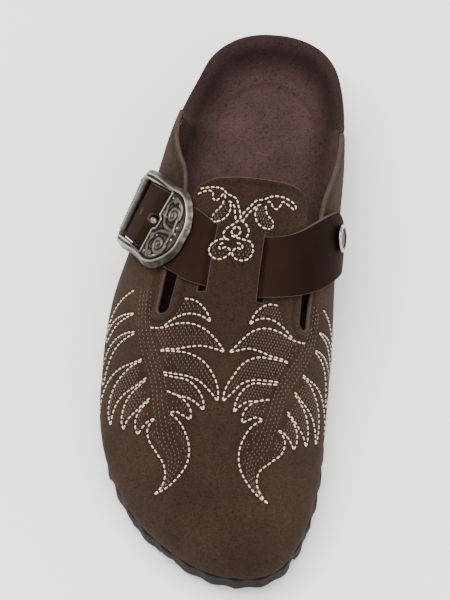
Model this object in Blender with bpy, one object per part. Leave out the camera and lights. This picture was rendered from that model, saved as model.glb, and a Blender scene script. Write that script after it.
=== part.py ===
"""Suede clog, right foot, size EU 42, with a strap and an engraved buckle over the instep.

Every surface starts from one last: a table of cross-sections from toe to heel.
Sizes are in millimetres in the tables and functions, and are turned to metres
when the meshes are made. The toe points to -Y, the inner side of the foot to +X.
"""
import math

import bpy
import numpy as np
from mathutils.geometry import delaunay_2d_cdt

MM = 0.001

# ---- driving sizes, in millimetres
TOE_Y = -139.7            # toe end of the upper, at the feather line
HEEL_Y = 140.5            # heel end of the footbed
UPPER_WALL = 2.2          # suede with its lining
GAP = 0.3                 # between pieces that touch
FOOTBED_INSET = UPPER_WALL + 0.4
TOE_CLEARANCE = 2.2       # height inside the toe where the insole starts
TOE_EXTRA = 1.0           # more room between insole and wall at the toe
INSOLE_THICKNESS = 1.6
# the upper stops short of these lateral and medial y; behind them the footbed shows
QUARTER_END = (92.1, 89.9)
QUARTER_FADE = 1.4        # the footbed reaches its full width within this of the upper's end
RIM_SNUG = 1.2            # the rim stands this much closer to the wall between the quarters
FOREFOOT_SOLE = 12.0      # outsole thickness under the ball
HEEL_SOLE = 15.0          # outsole thickness under the heel
SPRING_START_Y = -62.0
TOE_SPRING = 6.2
GROOVE_DEPTH = 3.4
GROOVE_HALF = 2.3
GROOVE_FLANK = 0.5
GROOVE_BOW = 5.0
STRAP_HALF = 13.7
STRAP_THICKNESS = 2.3
PANEL_RAISE = 2.6         # the middle of the flap stands up over the strap
LOOSE = 1.2               # how far the strap's medial end stands off the upper
CHART = 95.0              # half girth at the instep, which turns t into millimetres
TAB_THICKNESS = 1.5
BAR_THICKNESS = 1.8
FRAME_THICKNESS = 2.6
WINDOW_HALF = 13.2        # half the window's width, across the strap
STRAP_NARROW = 12.5       # half width of the strap inside the window
BUCKLE_SIDE = 1.2         # how far the buckle's axis lies from the strap's
RAIL_RISE = 1.8           # the rigid rail stands off the curved side
EAR_HALF = 1.8            # lugs under the side rails that hold the bar

# y, lateral x and medial x of the feather line, where upper and sole meet
FEATHER = [
    (TOE_Y, 18.0, 18.0), (-131, -9.5, 40.3), (-125, -18.3, 44.0), (-113, -31.5, 48.8),
    (-100, -40.2, 51.8), (-85, -47.4, 53.4), (-65, -52.0, 53.8), (-45, -53.0, 53.6),
    (-20, -51.5, 52.6), (0, -48.5, 50.8), (20, -44.5, 49.4), (40, -40.0, 48.8),
    (60, -36.5, 49.0), (80, -33.0, 49.6), (98, -27.5, 49.3), (112, -22.4, 47.6),
    (126.5, -16.4, 42.8), (134, -9.0, 36.0), (HEEL_Y, 13.0, 13.0),
]
# y, ridge x and z, fullness of the section and how far it tucks in at the sole
SECTION = [
    # y, ridge_x, ridge_z, full_lateral, full_medial, tuck_lateral, tuck_medial
    (TOE_Y, 18.0, 18.2, 2.2, 2.2, 0.0, 0.0), (-132.5, 17.0, 30.0, 2.2, 2.2, 0.5, 0.5),
    (-124.5, 16.0, 35.5, 2.2, 2.25, 1.0, 0.8), (-113, 14.0, 41.0, 2.2, 2.3, 2.0, 1.2),
    (-100, 12.0, 45.0, 2.2, 2.3, 3.0, 1.5), (-80, 10.5, 50.5, 2.2, 2.35, 3.3, 1.6),
    (-60, 9.5, 56.5, 2.15, 2.4, 3.8, 1.6), (-40, 9.5, 63.5, 2.1, 2.45, 4.2, 1.8),
    (-20, 10.0, 70.5, 2.1, 2.5, 5.5, 2.6), (0, 11.0, 77.5, 2.1, 2.6, 6.5, 3.5),
    (20, 12.5, 84.0, 2.1, 2.65, 6.0, 4.0), (37, 13.0, 88.5, 2.1, 2.7, 5.5, 4.4),
    (60, 13.0, 95.0, 2.2, 2.7, 4.0, 4.4), (93, 12.0, 104.0, 2.3, 2.7, 3.0, 3.0),
    (HEEL_Y, 12.0, 112.0, 2.2, 2.6, 0.0, 0.0),
]
TUCK_HEIGHT = 14.0
# y, then height over the outsole of the footbed's lateral rim, medial rim and middle
FOOTBED = [
    (TOE_Y, 9.0, 9.0, 8.0), (-100, 10.0, 10.0, 8.0), (-60, 11.5, 12.0, 9.5),
    (-20, 13.0, 15.0, 11.5), (20, 16.0, 21.0, 12.5), (60, 21.0, 25.0, 13.0),
    (90, 26.5, 28.0, 12.5), (112, 29.0, 29.5, 12.0), (HEEL_Y, 31.0, 31.0, 12.0),
]
# y and overhang of the outsole past the feather line
WELT = [(-141.0, 0.2), (-110, 0.3), (-80, 0.8), (-40, 0.9), (60, 0.9), (100, 0.3), (142.0, 0.2)]
SCALLOP = 0.5
SCALLOP_PITCH = 13.0
GROOVES_Y = [-122, -106, -90, -74, -58, -42, -26, -10, 62, 78, 94, 110, 125]
# t and y of the strap's middle line, from its tail on the lateral side to the medial rivet
STRAP_LINE = [
    (-0.97, 51.0), (-0.86, 44.5), (-0.76, 38.0), (-0.66, 31.5), (-0.56, 25.0), (-0.45, 17.0),
    (-0.33, 9.0), (-0.25, 4.5), (-0.17, 1.5), (-0.04, -1.0), (0.1, -2.7), (0.21, -1.6),
    (0.32, 1.3), (0.41, 5.5), (0.508, 12.0), (0.62, 20.5), (0.733, 29.0), (0.80, 34.5), (0.94, 46.0),
]
RIVET_T = 0.69
RIVET_SIDE = 2.5          # towards the heel from the strap's middle line
SLOT_LATERAL = (-0.207, -0.161)      # t of the slot's outer edge and of the panel's edge
SLOT_MEDIAL = (0.147, 0.101)
SLOT_ENDS = {"lateral": (18.5, -15.0), "medial": (12.8, -18.6)}


def smooth(x):
    x = np.clip(x, 0.0, 1.0)
    return x * x * (3.0 - 2.0 * x)


def along(y):
    """Place along the last, 0 at the toe and 1 at the heel, slow at both ends."""
    return np.arccos(np.clip(1.0 - 2.0 * (np.asarray(y, float) - TOE_Y) / (HEEL_Y - TOE_Y), -1, 1)) / math.pi


def spline(xs, ys, x):
    """Cubic through the points (xs, ys) with weighted slopes."""
    xs = np.array(xs, float)
    ys = np.array(ys, float)
    step = np.diff(xs)
    slope = np.diff(ys) / step
    m = np.zeros_like(ys)
    m[1:-1] = (slope[:-1] * step[1:] + slope[1:] * step[:-1]) / (step[:-1] + step[1:])
    m[0] = 2.0 * slope[0] - m[1]
    m[-1] = 2.0 * slope[-1] - m[-2]
    x = np.asarray(x, float)
    k = np.clip(np.searchsorted(xs, x) - 1, 0, len(step) - 1)
    u = (x - xs[k]) / step[k]
    return ((2 * u**3 - 3 * u**2 + 1) * ys[k] + (u**3 - 2 * u**2 + u) * step[k] * m[k]
            + (3 * u**2 - 2 * u**3) * ys[k + 1] + (u**3 - u**2) * step[k] * m[k + 1])


def column(table, index, y):
    return spline(along([row[0] for row in table]), [row[index] for row in table], along(y))


def sole_top(y):
    y = np.asarray(y, float)
    spring = TOE_SPRING * np.clip((SPRING_START_Y - y) / (SPRING_START_Y - TOE_Y), 0, None)**2
    return FOREFOOT_SOLE + (HEEL_SOLE - FOREFOOT_SOLE) * smooth((y + 30) / 90) + spring


def sole_bottom(y):
    """Flat under the ball and under the heel, raised at the waist, toe and heel back."""
    y = np.asarray(y, float)
    spring = TOE_SPRING * np.clip((SPRING_START_Y - y) / (SPRING_START_Y - TOE_Y), 0, None)**2
    arch = 2.4 * np.sin(math.pi * np.clip((y + 2) / 56, 0, 1))**2
    back = 2.6 * np.clip((y - 122) / 19, 0, None)**2
    return spring + arch + back


def last_point(t, y):
    """Outer face of the upper: t is -1 at the lateral feather, 0 on the ridge, 1 medial."""
    t, y = np.broadcast_arrays(np.asarray(t, float), np.asarray(y, float))
    lateral = t < 0
    ridge_x = column(SECTION, 1, y)
    base = sole_top(y) + GAP
    height = np.maximum(column(SECTION, 2, y) - base, 0.0)
    full = np.where(lateral, column(SECTION, 3, y), column(SECTION, 4, y))
    tuck = np.where(lateral, column(SECTION, 5, y), column(SECTION, 6, y))
    edge = np.where(lateral, column(FEATHER, 1, y), column(FEATHER, 2, y))
    width = np.abs(edge - ridge_x) + tuck
    s = np.abs(np.sin(t * math.pi / 2))
    c = np.abs(np.cos(t * math.pi / 2))
    size = (s**full + c**full)**(-1 / full)
    z = height * c * size
    x = width * s * size - tuck * s * np.clip(1 - z / TUCK_HEIGHT, 0, 1)**2
    return np.stack([ridge_x + np.where(lateral, -x, x), y, base + z], -1)


def last_normal(t, y):
    t, y = np.broadcast_arrays(np.asarray(t, float), np.asarray(y, float))
    y = np.maximum(y, TOE_Y + 0.15)
    dt, dy = 0.004, 0.1
    across = last_point(np.minimum(t + dt, 1.0), y) - last_point(np.maximum(t - dt, -1.0), y)
    length = last_point(t, y + dy) - last_point(t, y - dy)
    normal = np.cross(across, length)
    return normal / np.linalg.norm(normal, axis=-1, keepdims=True)


def lifted(t, y, lift):
    return last_point(t, y) + last_normal(t, y) * np.asarray(lift, float)[..., None]


# ---- flat pattern of the upper: r runs from the toe back, a across

NOSE = 20.0


def pattern_r(y):
    d = np.asarray(y, float) - TOE_Y
    return np.sqrt(d * d + 2 * NOSE * d)


def pattern_y(r):
    return TOE_Y + np.sqrt(np.asarray(r, float)**2 + NOSE**2) - NOSE


def pattern_half(r):
    r = np.asarray(r, float)
    return 66.0 * (1 - np.exp(-r / 28.0)) + 0.12 * r


def to_pattern(t, y):
    r = pattern_r(y)
    return np.stack([np.asarray(t, float) * pattern_half(r), r], -1)


def from_pattern(points):
    r = np.maximum(points[:, 1], 0.5)
    return np.clip(points[:, 0] / pattern_half(r), -1, 1), pattern_y(r)


def panel_raise(t, y):
    """How far the flap's middle panel stands up, between its two slots."""
    across = smooth((t - SLOT_LATERAL[0]) / (SLOT_LATERAL[1] - SLOT_LATERAL[0]))
    across = across * smooth((SLOT_MEDIAL[0] - t) / (SLOT_MEDIAL[0] - SLOT_MEDIAL[1]))
    return PANEL_RAISE * across * smooth((y + 32) / 14) * smooth((31 - y) / 14)


# ---- curves and triangulation in a plane

def curve(points, step):
    """Even points about step apart on a smooth curve through the given ones."""
    points = np.array(points, float)
    lengths = np.concatenate([[0], np.cumsum(np.linalg.norm(np.diff(points, axis=0), axis=1))])
    count = max(2, int(round(lengths[-1] / step)) + 1)
    where = np.linspace(0, lengths[-1], count)
    return np.stack([spline(lengths, points[:, i], where) for i in (0, 1)], -1)


def arc(centre, radius, start, end, count):
    angles = np.radians(np.linspace(start, end, count))
    return np.stack([centre[0] + radius * np.cos(angles), centre[1] + radius * np.sin(angles)], -1)


def closed(*runs):
    """Joins runs of points into one loop without doubled points."""
    points = np.concatenate(runs)
    keep = np.linalg.norm(points - np.roll(points, 1, axis=0), axis=1) > 0.3
    return points[keep]


def inside(points, loop):
    x, y = points[:, 0][:, None], points[:, 1][:, None]
    x0, y0 = loop[:, 0], loop[:, 1]
    x1, y1 = np.roll(x0, -1), np.roll(y0, -1)
    crosses = ((y0 > y) != (y1 > y)) & (x < (x1 - x0) * (y - y0) / (y1 - y0 + 1e-12) + x0)
    return crosses.sum(axis=1) % 2 == 1


def edge_distance(points, loop):
    start = loop[None]
    run = np.roll(loop, -1, axis=0)[None] - start
    k = ((points[:, None] - start) * run).sum(-1) / (run**2).sum(-1)
    near = start + np.clip(k, 0, 1)[..., None] * run
    return np.linalg.norm(points[:, None] - near, axis=-1).min(axis=1)


def hex_points(loops, spacing):
    low, high = loops[0].min(axis=0), loops[0].max(axis=0)
    rows = []
    for j, y in enumerate(np.arange(low[1], high[1], spacing * 0.866)):
        x = np.arange(low[0] + (j % 2) * spacing / 2, high[0], spacing)
        rows.append(np.stack([x, np.full_like(x, y)], -1))
    points = np.concatenate(rows)
    keep = inside(points, loops[0])
    for loop in loops:
        keep &= edge_distance(points, loop) > 0.6 * spacing
    for hole in loops[1:]:
        keep &= ~inside(points, hole)
    return points[keep]


def triangulate(loops, extra=(), lines=()):
    """Constrained triangles inside the first loop and outside the others."""
    points, edges = [], []
    for loop in loops:
        first = len(points)
        points.extend(loop)
        edges.extend((first + i, first + (i + 1) % len(loop)) for i in range(len(loop)))
    for line in lines:
        first = len(points)
        points.extend(line)
        edges.extend((first + i, first + i + 1) for i in range(len(line) - 1))
    points.extend(extra)
    result = delaunay_2d_cdt([tuple(map(float, p)) for p in points], edges, [], 0, 1e-5)
    flat = np.array([tuple(p) for p in result[0]])
    faces = np.array([f for f in result[2] if len(f) == 3])
    centres = flat[faces].mean(axis=1)
    keep = inside(centres, loops[0])
    for hole in loops[1:]:
        keep &= ~inside(centres, hole)
    faces = faces[keep]
    a, b, c = flat[faces[:, 0]], flat[faces[:, 1]], flat[faces[:, 2]]
    turn = (b[:, 0] - a[:, 0]) * (c[:, 1] - a[:, 1]) - (b[:, 1] - a[:, 1]) * (c[:, 0] - a[:, 0])
    faces[turn < 0] = faces[turn < 0][:, ::-1]
    used = np.unique(faces)
    index = np.full(len(flat), -1)
    index[used] = np.arange(len(used))
    return flat[used], index[faces]


def border(faces):
    """Directed edges that only one triangle has."""
    edges = {(f[i], f[(i + 1) % 3]) for f in faces.tolist() for i in range(3)}
    return [e for e in edges if (e[1], e[0]) not in edges]


def sheet(flat, faces, top, bottom):
    """Closed solid between two faces over the same triangles."""
    count = len(flat)
    solid = [tuple(f) for f in faces.tolist()]
    solid += [tuple(count + i for i in reversed(f)) for f in faces.tolist()]
    solid += [(b, a, count + a, count + b) for a, b in border(faces)]
    return np.concatenate([top, bottom]), solid


def slab(top_flat, top_faces, top, bottom_flat, bottom_faces, bottom, ring_top, ring_bottom):
    """Closed solid whose top and bottom have their own triangles and matching rims."""
    count = len(top_flat)
    solid = [tuple(f) for f in top_faces.tolist()]
    solid += [tuple(count + i for i in reversed(f)) for f in bottom_faces.tolist()]
    size = len(ring_top)
    for i in range(size):
        a, b = ring_top[i], ring_top[(i + 1) % size]
        c, d = count + ring_bottom[i], count + ring_bottom[(i + 1) % size]
        solid.append((b, a, c, d))
    return np.concatenate([top, bottom]), solid


def nearest(points, targets):
    return [int(np.argmin(((points - p)**2).sum(axis=1))) for p in targets]


def offset_loop(loop, distance):
    """Moves each point of an anticlockwise loop outward."""
    run = np.roll(loop, -1, axis=0) - np.roll(loop, 1, axis=0)
    out = np.stack([run[:, 1], -run[:, 0]], -1)
    out /= np.linalg.norm(out, axis=1, keepdims=True)
    return loop + out * np.asarray(distance)[..., None]


# ---- sole unit

def feather_loop(count):
    """Feather line in plan, anticlockwise from the toe along the medial side."""
    s = np.linspace(0, 1, count + 1)
    y = TOE_Y + (HEEL_Y - TOE_Y) * (1 - np.cos(math.pi * s)) / 2
    medial = np.stack([column(FEATHER, 2, y), y], -1)
    lateral = np.stack([column(FEATHER, 1, y), y], -1)[::-1]
    return np.concatenate([medial[:-1], lateral[:-1]])


def groove_lift(points):
    lift = np.zeros(len(points))
    for y in GROOVES_Y:
        away = np.abs(points[:, 1] - groove_y(y, points[:, 0]))
        lift = np.maximum(lift, GROOVE_DEPTH * np.clip((GROOVE_HALF - away) / GROOVE_FLANK, 0, 1))
    return lift


def groove_y(y, x):
    bow = -GROOVE_BOW if y < 0 else GROOVE_BOW
    return y + bow * (1 - ((x - 5) / 50)**2)


def make_outsole():
    loop = feather_loop(44)
    y = loop[:, 1]
    welt = spline([r[0] for r in WELT], [r[1] for r in WELT], y)
    lengths = np.concatenate([[0], np.cumsum(np.linalg.norm(np.diff(loop, axis=0), axis=1))])
    scallop = SCALLOP * np.cos(2 * math.pi * lengths / SCALLOP_PITCH) * smooth((-40 - y) / 40)
    loop = offset_loop(loop, welt + scallop)
    lines = []
    for y0 in GROOVES_Y:
        for shift in (-GROOVE_HALF, GROOVE_FLANK - GROOVE_HALF, GROOVE_HALF - GROOVE_FLANK, GROOVE_HALF):
            x = np.linspace(-70, 70, 13)
            lines.append(np.stack([x, groove_y(y0, x) + shift], -1))
    flat, faces = triangulate([loop], hex_points([loop], 14.0), lines)
    bottom = np.column_stack([flat, sole_bottom(flat[:, 1]) + groove_lift(flat)])
    following = dict(border(faces))
    ring = [next(iter(following))]
    while following[ring[-1]] != ring[0]:
        ring.append(following[ring[-1]])
    rim = flat[ring]
    top_flat, top_faces = triangulate([rim], hex_points([rim], 16.0))
    top = np.column_stack([top_flat, sole_top(top_flat[:, 1])])
    return slab(top_flat, top_faces, top, flat, faces, bottom, nearest(top_flat, rim), ring)


def rim_height(y, medial):
    return sole_top(y) + column(FOOTBED, 2 if medial else 1, y)


def level_side(y, height, inset, medial):
    """Points at a height inside the wall of the last, for one side."""
    t = np.linspace(0.0, 1.0, 161) * (1 if medial else -1)
    points = np.empty((len(y), 3))
    for i, (yi, zi) in enumerate(zip(y, height)):
        z = last_point(t, yi)[:, 2]
        tz = np.interp(-zi, -z, t)
        wall = inset - RIM_SNUG * smooth((yi - 30) / 30)
        wall = wall * (1 - smooth((yi - QUARTER_END[medial]) / QUARTER_FADE)) + 0.1
        wall += TOE_EXTRA * (1 - smooth((yi - TOE_Y) / 20))
        points[i] = last_point(tz, yi) - wall * last_normal(tz, yi)
    return points


def level_loop(extra, inset, count=38):
    """Loop of the footbed's rim, extra above it, anticlockwise from the toe."""
    ridge_y = np.linspace(TOE_Y + 0.2, TOE_Y + 25, 400)
    clear = column(SECTION, 2, ridge_y) - rim_height(ridge_y, True) - extra
    start = ridge_y[np.argmax(clear > TOE_CLEARANCE)]
    s = np.linspace(0, 1, count + 1)
    y = start + (HEEL_Y - start) * (1 - np.cos(math.pi * s)) / 2
    y[-1] = HEEL_Y - 0.05
    sides = []
    for medial in (True, False):
        end = QUARTER_END[medial]
        row = np.argmin(np.abs(y - end))
        side_y = y.copy()
        side_y[row:row + 2] = end, end + QUARTER_FADE
        sides.append(level_side(side_y, rim_height(side_y, medial) + extra, inset, medial))
    return np.concatenate([sides[0][:-1], sides[1][:0:-1]])


def footbed_top(points, loop, extra):
    """Contoured face of the footbed, a cup round its rim and a low middle."""
    y = points[:, 1]
    middle = sole_top(y) + column(FOOTBED, 3, y) + extra
    side = smooth((points[:, 0] - column(SECTION, 1, y) + 25) / 50)
    rim = rim_height(y, False) * (1 - side) + rim_height(y, True) * side + extra
    away = edge_distance(points, loop[:, :2])
    reach = 20 + 8 * smooth((y - 40) / 60)
    return middle + (rim - middle) * np.clip(1 - away / reach, 0, 1)**2.3


def footbed_plan():
    """Rim in space and triangles in plan that the footbed and the insole share."""
    rim = level_loop(GAP + INSOLE_THICKNESS, FOOTBED_INSET + 1.4)
    flat, faces = triangulate([rim[:, :2]], hex_points([rim[:, :2]], 9.0))
    return rim, flat, faces


def make_footbed():
    rim, flat, faces = footbed_plan()
    top = np.column_stack([flat, footbed_top(flat, rim, 0.0)])
    ring = nearest(flat, rim[:, :2])
    y = np.clip(rim[:, 1], TOE_Y + 3.0, HEEL_Y - 0.05)
    y[0] = TOE_Y + 2.9
    medial = np.arange(len(rim)) < len(rim) // 2
    edge = np.where(medial, column(FEATHER, 2, y), column(FEATHER, 1, y))
    foot = np.column_stack([edge, y])
    foot[0, 0] = column(FEATHER, 1, TOE_Y)
    end = np.where(medial, QUARTER_END[1], QUARTER_END[0])
    wall = FOOTBED_INSET * (1 - smooth((y - end) / QUARTER_FADE)) + 0.15
    foot = offset_loop(foot, -wall)
    low_flat, low_faces = triangulate([foot], hex_points([foot], 18.0))
    low = np.column_stack([low_flat, sole_top(low_flat[:, 1]) + GAP])
    return slab(flat, faces, top, low_flat, low_faces, low, ring, nearest(low_flat, foot))


def make_insole():
    rim, flat, faces = footbed_plan()
    high = footbed_top(flat, rim, GAP + INSOLE_THICKNESS)
    top = np.column_stack([flat, high])
    bottom = np.column_stack([flat, high - INSOLE_THICKNESS])
    return sheet(flat, faces, top, bottom)


# ---- upper

def upper_loop():
    step = 6.5
    rear = 86.0
    bottom_y = np.concatenate([[rear], np.linspace(78, -85, 22)])
    nose_r = np.array([60, 53, 46, 39, 32.5, 26.5, 21, 16, 11.5, 7.5, 4, 1.5])
    side_y = np.concatenate([bottom_y, pattern_y(nose_r)])
    lateral_bottom = to_pattern(-np.ones(len(side_y)), side_y)
    medial_bottom = to_pattern(np.ones(len(side_y)), side_y)[::-1]

    def run(rows, size=step):
        rows = np.array(rows, float)
        return curve(to_pattern(rows[:, 0], rows[:, 1]), size)

    medial_rear = run([(1, rear), (0.92, 88.6), (0.80, 89.4), (0.75, 86.5)], 4)
    medial_collar = run([(0.75, 86.5), (0.73, 78), (0.70, 70), (0.64, 58), (0.585, 48), (0.545, 40),
                         (0.52, 28), (0.50, 10), (0.48, -8), (0.472, -22)])
    medial_slit = slit_end(0.440, -23.0)
    medial_flap = run([(0.408, -22), (0.405, -8), (0.40, 8), (0.397, 24), (0.385, 31)])
    flap_top = run([(0.385, 31), (0.35, 35.2), (0.29, 37), (0.15, 37.8), (0, 38.2), (-0.15, 38.6),
                    (-0.25, 38.2), (-0.31, 36), (-0.33, 31)], 4)
    lateral_flap = run([(-0.33, 31), (-0.322, 18), (-0.316, 4), (-0.322, -8), (-0.338, -20)])
    lateral_slit = slit_end(-0.370, -21.0)
    lateral_collar = run([(-0.402, -20), (-0.392, -8), (-0.388, 6), (-0.392, 22), (-0.402, 38),
                          (-0.435, 47), (-0.51, 57), (-0.585, 67), (-0.645, 78), (-0.69, 88.5)])
    lateral_rear = run([(-0.69, 88.5), (-0.74, 91.6), (-0.86, 91.2), (-1, rear)], 4)
    return closed(medial_bottom, medial_rear, medial_collar, medial_slit, medial_flap, flap_top,
                  lateral_flap, lateral_slit, lateral_collar, lateral_rear, lateral_bottom)


def slit_end(t, y):
    centre = to_pattern(t, y)
    return arc(centre, 0.032 * pattern_half(pattern_r(y)), 0, -180, 7)


def slot_loop(edges, ends):
    t_low, t_high = min(edges), max(edges)
    y_high, y_low = ends
    corners = [(t_low, y_low), (t_high, y_low), (t_high, y_high), (t_low, y_high)]
    points = []
    for i, (t, y) in enumerate(corners):
        t2, y2 = corners[(i + 1) % 4]
        steps = 5 if i % 2 else 1
        for k in range(steps):
            points.append(to_pattern(t + (t2 - t) * k / steps, y + (y2 - y) * k / steps))
    return np.array(points)


def make_upper():
    loops = [upper_loop(), slot_loop(SLOT_LATERAL, SLOT_ENDS["lateral"]),
             slot_loop(SLOT_MEDIAL, SLOT_ENDS["medial"])]
    flat, faces = triangulate(loops, hex_points(loops, 6.8))
    t, y = from_pattern(flat)
    rise = panel_raise(t, y)
    return sheet(flat, faces, lifted(t, y, rise), lifted(t, y, rise - UPPER_WALL))


# ---- strap and buckle, on a chart of the instep: u along the strap, v across it

def strap_curve():
    rows = np.array(STRAP_LINE)
    return curve(np.column_stack([rows[:, 0] * CHART, rows[:, 1]]), 1.0)


LINE = strap_curve()
LINE_U = np.concatenate([[0], np.cumsum(np.linalg.norm(np.diff(LINE, axis=0), axis=1))])


def u_at(t):
    return float(np.interp(t * CHART, LINE[:, 0], LINE_U))


U_RAIL = u_at(-0.775)           # outer end of the buckle's rear rail


def on_chart(u, v):
    """t and y of the point v to the side of the strap's middle line; the buckle sits askew on it."""
    u, v = np.broadcast_arrays(np.asarray(u, float), np.asarray(v, float))
    near = smooth((U_RAIL + 66 - u) / 12)
    u = u - (0.1 + 0.16 * smooth((u - U_RAIL - 10) / 20)) * near * v
    v = v + BUCKLE_SIDE * near
    a, y = np.interp(u, LINE_U, LINE[:, 0]), np.interp(u, LINE_U, LINE[:, 1])
    da = np.interp(u + 1.5, LINE_U, LINE[:, 0]) - np.interp(u - 1.5, LINE_U, LINE[:, 0])
    dy = np.interp(u + 1.5, LINE_U, LINE[:, 1]) - np.interp(u - 1.5, LINE_U, LINE[:, 1])
    size = np.hypot(da, dy)
    return np.clip((a - v * dy / size) / CHART, -1.0, 1.0), y + v * da / size


def on_strap(u, v, lift):
    """Point over the last, u along the strap's middle line, v towards the heel."""
    t, y = on_chart(u, v)
    return lifted(t, y, np.broadcast_to(np.asarray(lift, float), t.shape))


U_TIP = U_RAIL - 8.0
U_WINDOW = (U_RAIL + 9.8, U_RAIL + 34.4)
U_BAR = U_RAIL + 17.0
U_HOLE = U_WINDOW[1] - 2.8
U_SPARE = U_HOLE - 11.2         # the next hole along
U_RIVET = u_at(RIVET_T)
U_END = U_RIVET + 12.0
DIVE = [SLOT_LATERAL[0] + 0.005, SLOT_LATERAL[1] - 0.005, SLOT_MEDIAL[1] + 0.005, SLOT_MEDIAL[0] - 0.005]
TAB_TOP = GAP + TAB_THICKNESS
BAR_LOW = TAB_TOP + GAP
HUMP = BAR_LOW + BAR_THICKNESS + GAP + 0.3


def strap_lift(u, v=0.0):
    """Height of the strap's under face: over the tab and bar, on the upper, under the panel."""
    u = np.asarray(u, float)
    t = on_chart(u, v)[0]
    flat = GAP + LOOSE * smooth((t - 0.45) / 0.35)
    tail = TAB_TOP + GAP + 0.2
    tail = tail + (flat - tail) * smooth((u - U_BAR) / (U_WINDOW[1] - U_BAR - 1.5))
    hump = smooth((u - U_WINDOW[0] - 0.8) / 4.5) * smooth((U_WINDOW[1] - 0.6 - u) / 5.3)
    lift = tail + (HUMP - tail) * hump
    under = PANEL_RAISE - UPPER_WALL - GAP - STRAP_THICKNESS - 0.1
    dive = smooth((t - DIVE[0]) / (DIVE[1] - DIVE[0])) * smooth((DIVE[3] - t) / (DIVE[3] - DIVE[2]))
    return lift + (under - GAP) * dive


def hole(u, v, half_u, half_v, count=8):
    angles = np.linspace(0, 2 * math.pi, count, endpoint=False)
    return np.stack([u + half_u * np.cos(angles), v + half_v * np.sin(angles)], -1)


def strap_half(u):
    """Half width of the strap, which narrows under the plate to pass through the window."""
    return STRAP_HALF - (STRAP_HALF - STRAP_NARROW) * smooth((U_RAIL + 50 - np.asarray(u, float)) / 10)


def make_strap():
    far = arc((U_END - STRAP_HALF + 2.5, 0), STRAP_HALF, -90, 90, 13)
    near = np.array([(U_TIP + 10, STRAP_NARROW), (U_TIP + 4, 10.0), (U_TIP, 5.0), (U_TIP, -5.0),
                     (U_TIP + 4, -10.0), (U_TIP + 10, -STRAP_NARROW)])
    near = curve(near, 4.0)
    u = strap_rows(near[0, 0], far[0, 0])
    lower = np.stack([u, -strap_half(u)], -1)
    upper = lower[::-1] * (1, -1)
    loop = closed(lower, far, upper, near)
    loops = [loop, hole(U_HOLE, 0, 2.9, 1.9), hole(U_SPARE, 0, 1.4, 1.4),
             hole(U_RIVET, RIVET_SIDE, 2.2, 2.2)]
    inner = np.concatenate([[U_TIP + 3.5, U_TIP + 7.5], u])
    extra = np.concatenate([np.stack([np.full(3, x), np.array([-6.8, 0.0, 6.8])], -1) for x in inner])
    keep = np.all([edge_distance(extra, h) > 1.2 for h in loops], axis=0)
    for h in loops[1:]:
        keep &= ~inside(extra, h)
    flat, faces = triangulate(loops, extra[keep], dive_lines())
    low = strap_lift(flat[:, 0], flat[:, 1])
    return sheet(flat, faces, on_strap(flat[:, 0], flat[:, 1], low + STRAP_THICKNESS),
                 on_strap(flat[:, 0], flat[:, 1], low))


def dive_lines():
    """Lines across the strap where it starts and ends its dive through each slot."""
    u = np.linspace(u_at(-0.35), u_at(0.35), 80)
    v = np.linspace(-STRAP_HALF - 1, STRAP_HALF + 1, 5)
    middles = [(DIVE[0] + DIVE[1]) / 2, (DIVE[2] + DIVE[3]) / 2]
    return [np.stack([[np.interp(t, on_chart(u, x)[0], u) for x in v], v], -1) for t in DIVE + middles]


def strap_rows(start, end):
    """Rows every few millimetres, and where the strap starts to climb or crests."""
    bends = [U_WINDOW[0] + 0.8, U_WINDOW[0] + 3.0, U_BAR - 2.2, U_BAR + 2.2, U_WINDOW[1] - 4.0,
             U_WINDOW[1] - 1.0]
    rows = [u for u in np.linspace(start, end, 38)[1:-1] if min(abs(u - b) for b in bends) > 1.6]
    dives = [(a - 0.03, b + 0.03) for a, b in (DIVE[:2], DIVE[2:])]
    clear = [u for u in rows if not any(a < on_chart(u, 0)[0] < b for a, b in dives)]
    return np.array(sorted(clear + bends))


def frame_low(u):
    """Under face of the buckle: close to the strap at the plate, over the tab at the rail."""
    step = TAB_TOP * (1 - smooth((np.asarray(u, float) - U_BAR) / (U_WINDOW[1] - U_BAR + 2)))
    return 2 * GAP + STRAP_THICKNESS + 0.4 + step


def frame_high(u):
    return frame_low(u) + FRAME_THICKNESS + RAIL_RISE * (1 - smooth((np.asarray(u, float) - U_RAIL - 3) / 14))


def frame_outline():
    """D-shaped plate, long sides and a straight rear rail, anticlockwise."""
    half = [(0.0, 12.0), (1.6, 15.4), (5.5, 16.8), (12, 17.4), (22, 17.3), (30, 16.5), (35, 16.5),
            (40, 17.2), (45.5, 16.4), (50, 13.4), (53.8, 8.8), (55.6, 4.0)]
    upper = curve(half, 3.6) + (U_RAIL, 0)
    return closed(upper * (1, -1), upper[::-1])


def frame_window():
    u0, u1 = U_WINDOW
    notch = 2.2
    ear = (U_BAR - EAR_HALF, U_BAR + EAR_HALF)
    return np.array([(u0, -WINDOW_HALF), (ear[0], -WINDOW_HALF), (ear[1], -WINDOW_HALF), (u1, -WINDOW_HALF),
                     (u1, -2.9), (u1 + notch, -1.7), (u1 + notch, 1.7), (u1, 2.9), (u1, WINDOW_HALF),
                     (ear[1], WINDOW_HALF), (ear[0], WINDOW_HALF), (u0, WINDOW_HALF), (u0, 5), (u0, -5)])


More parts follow.
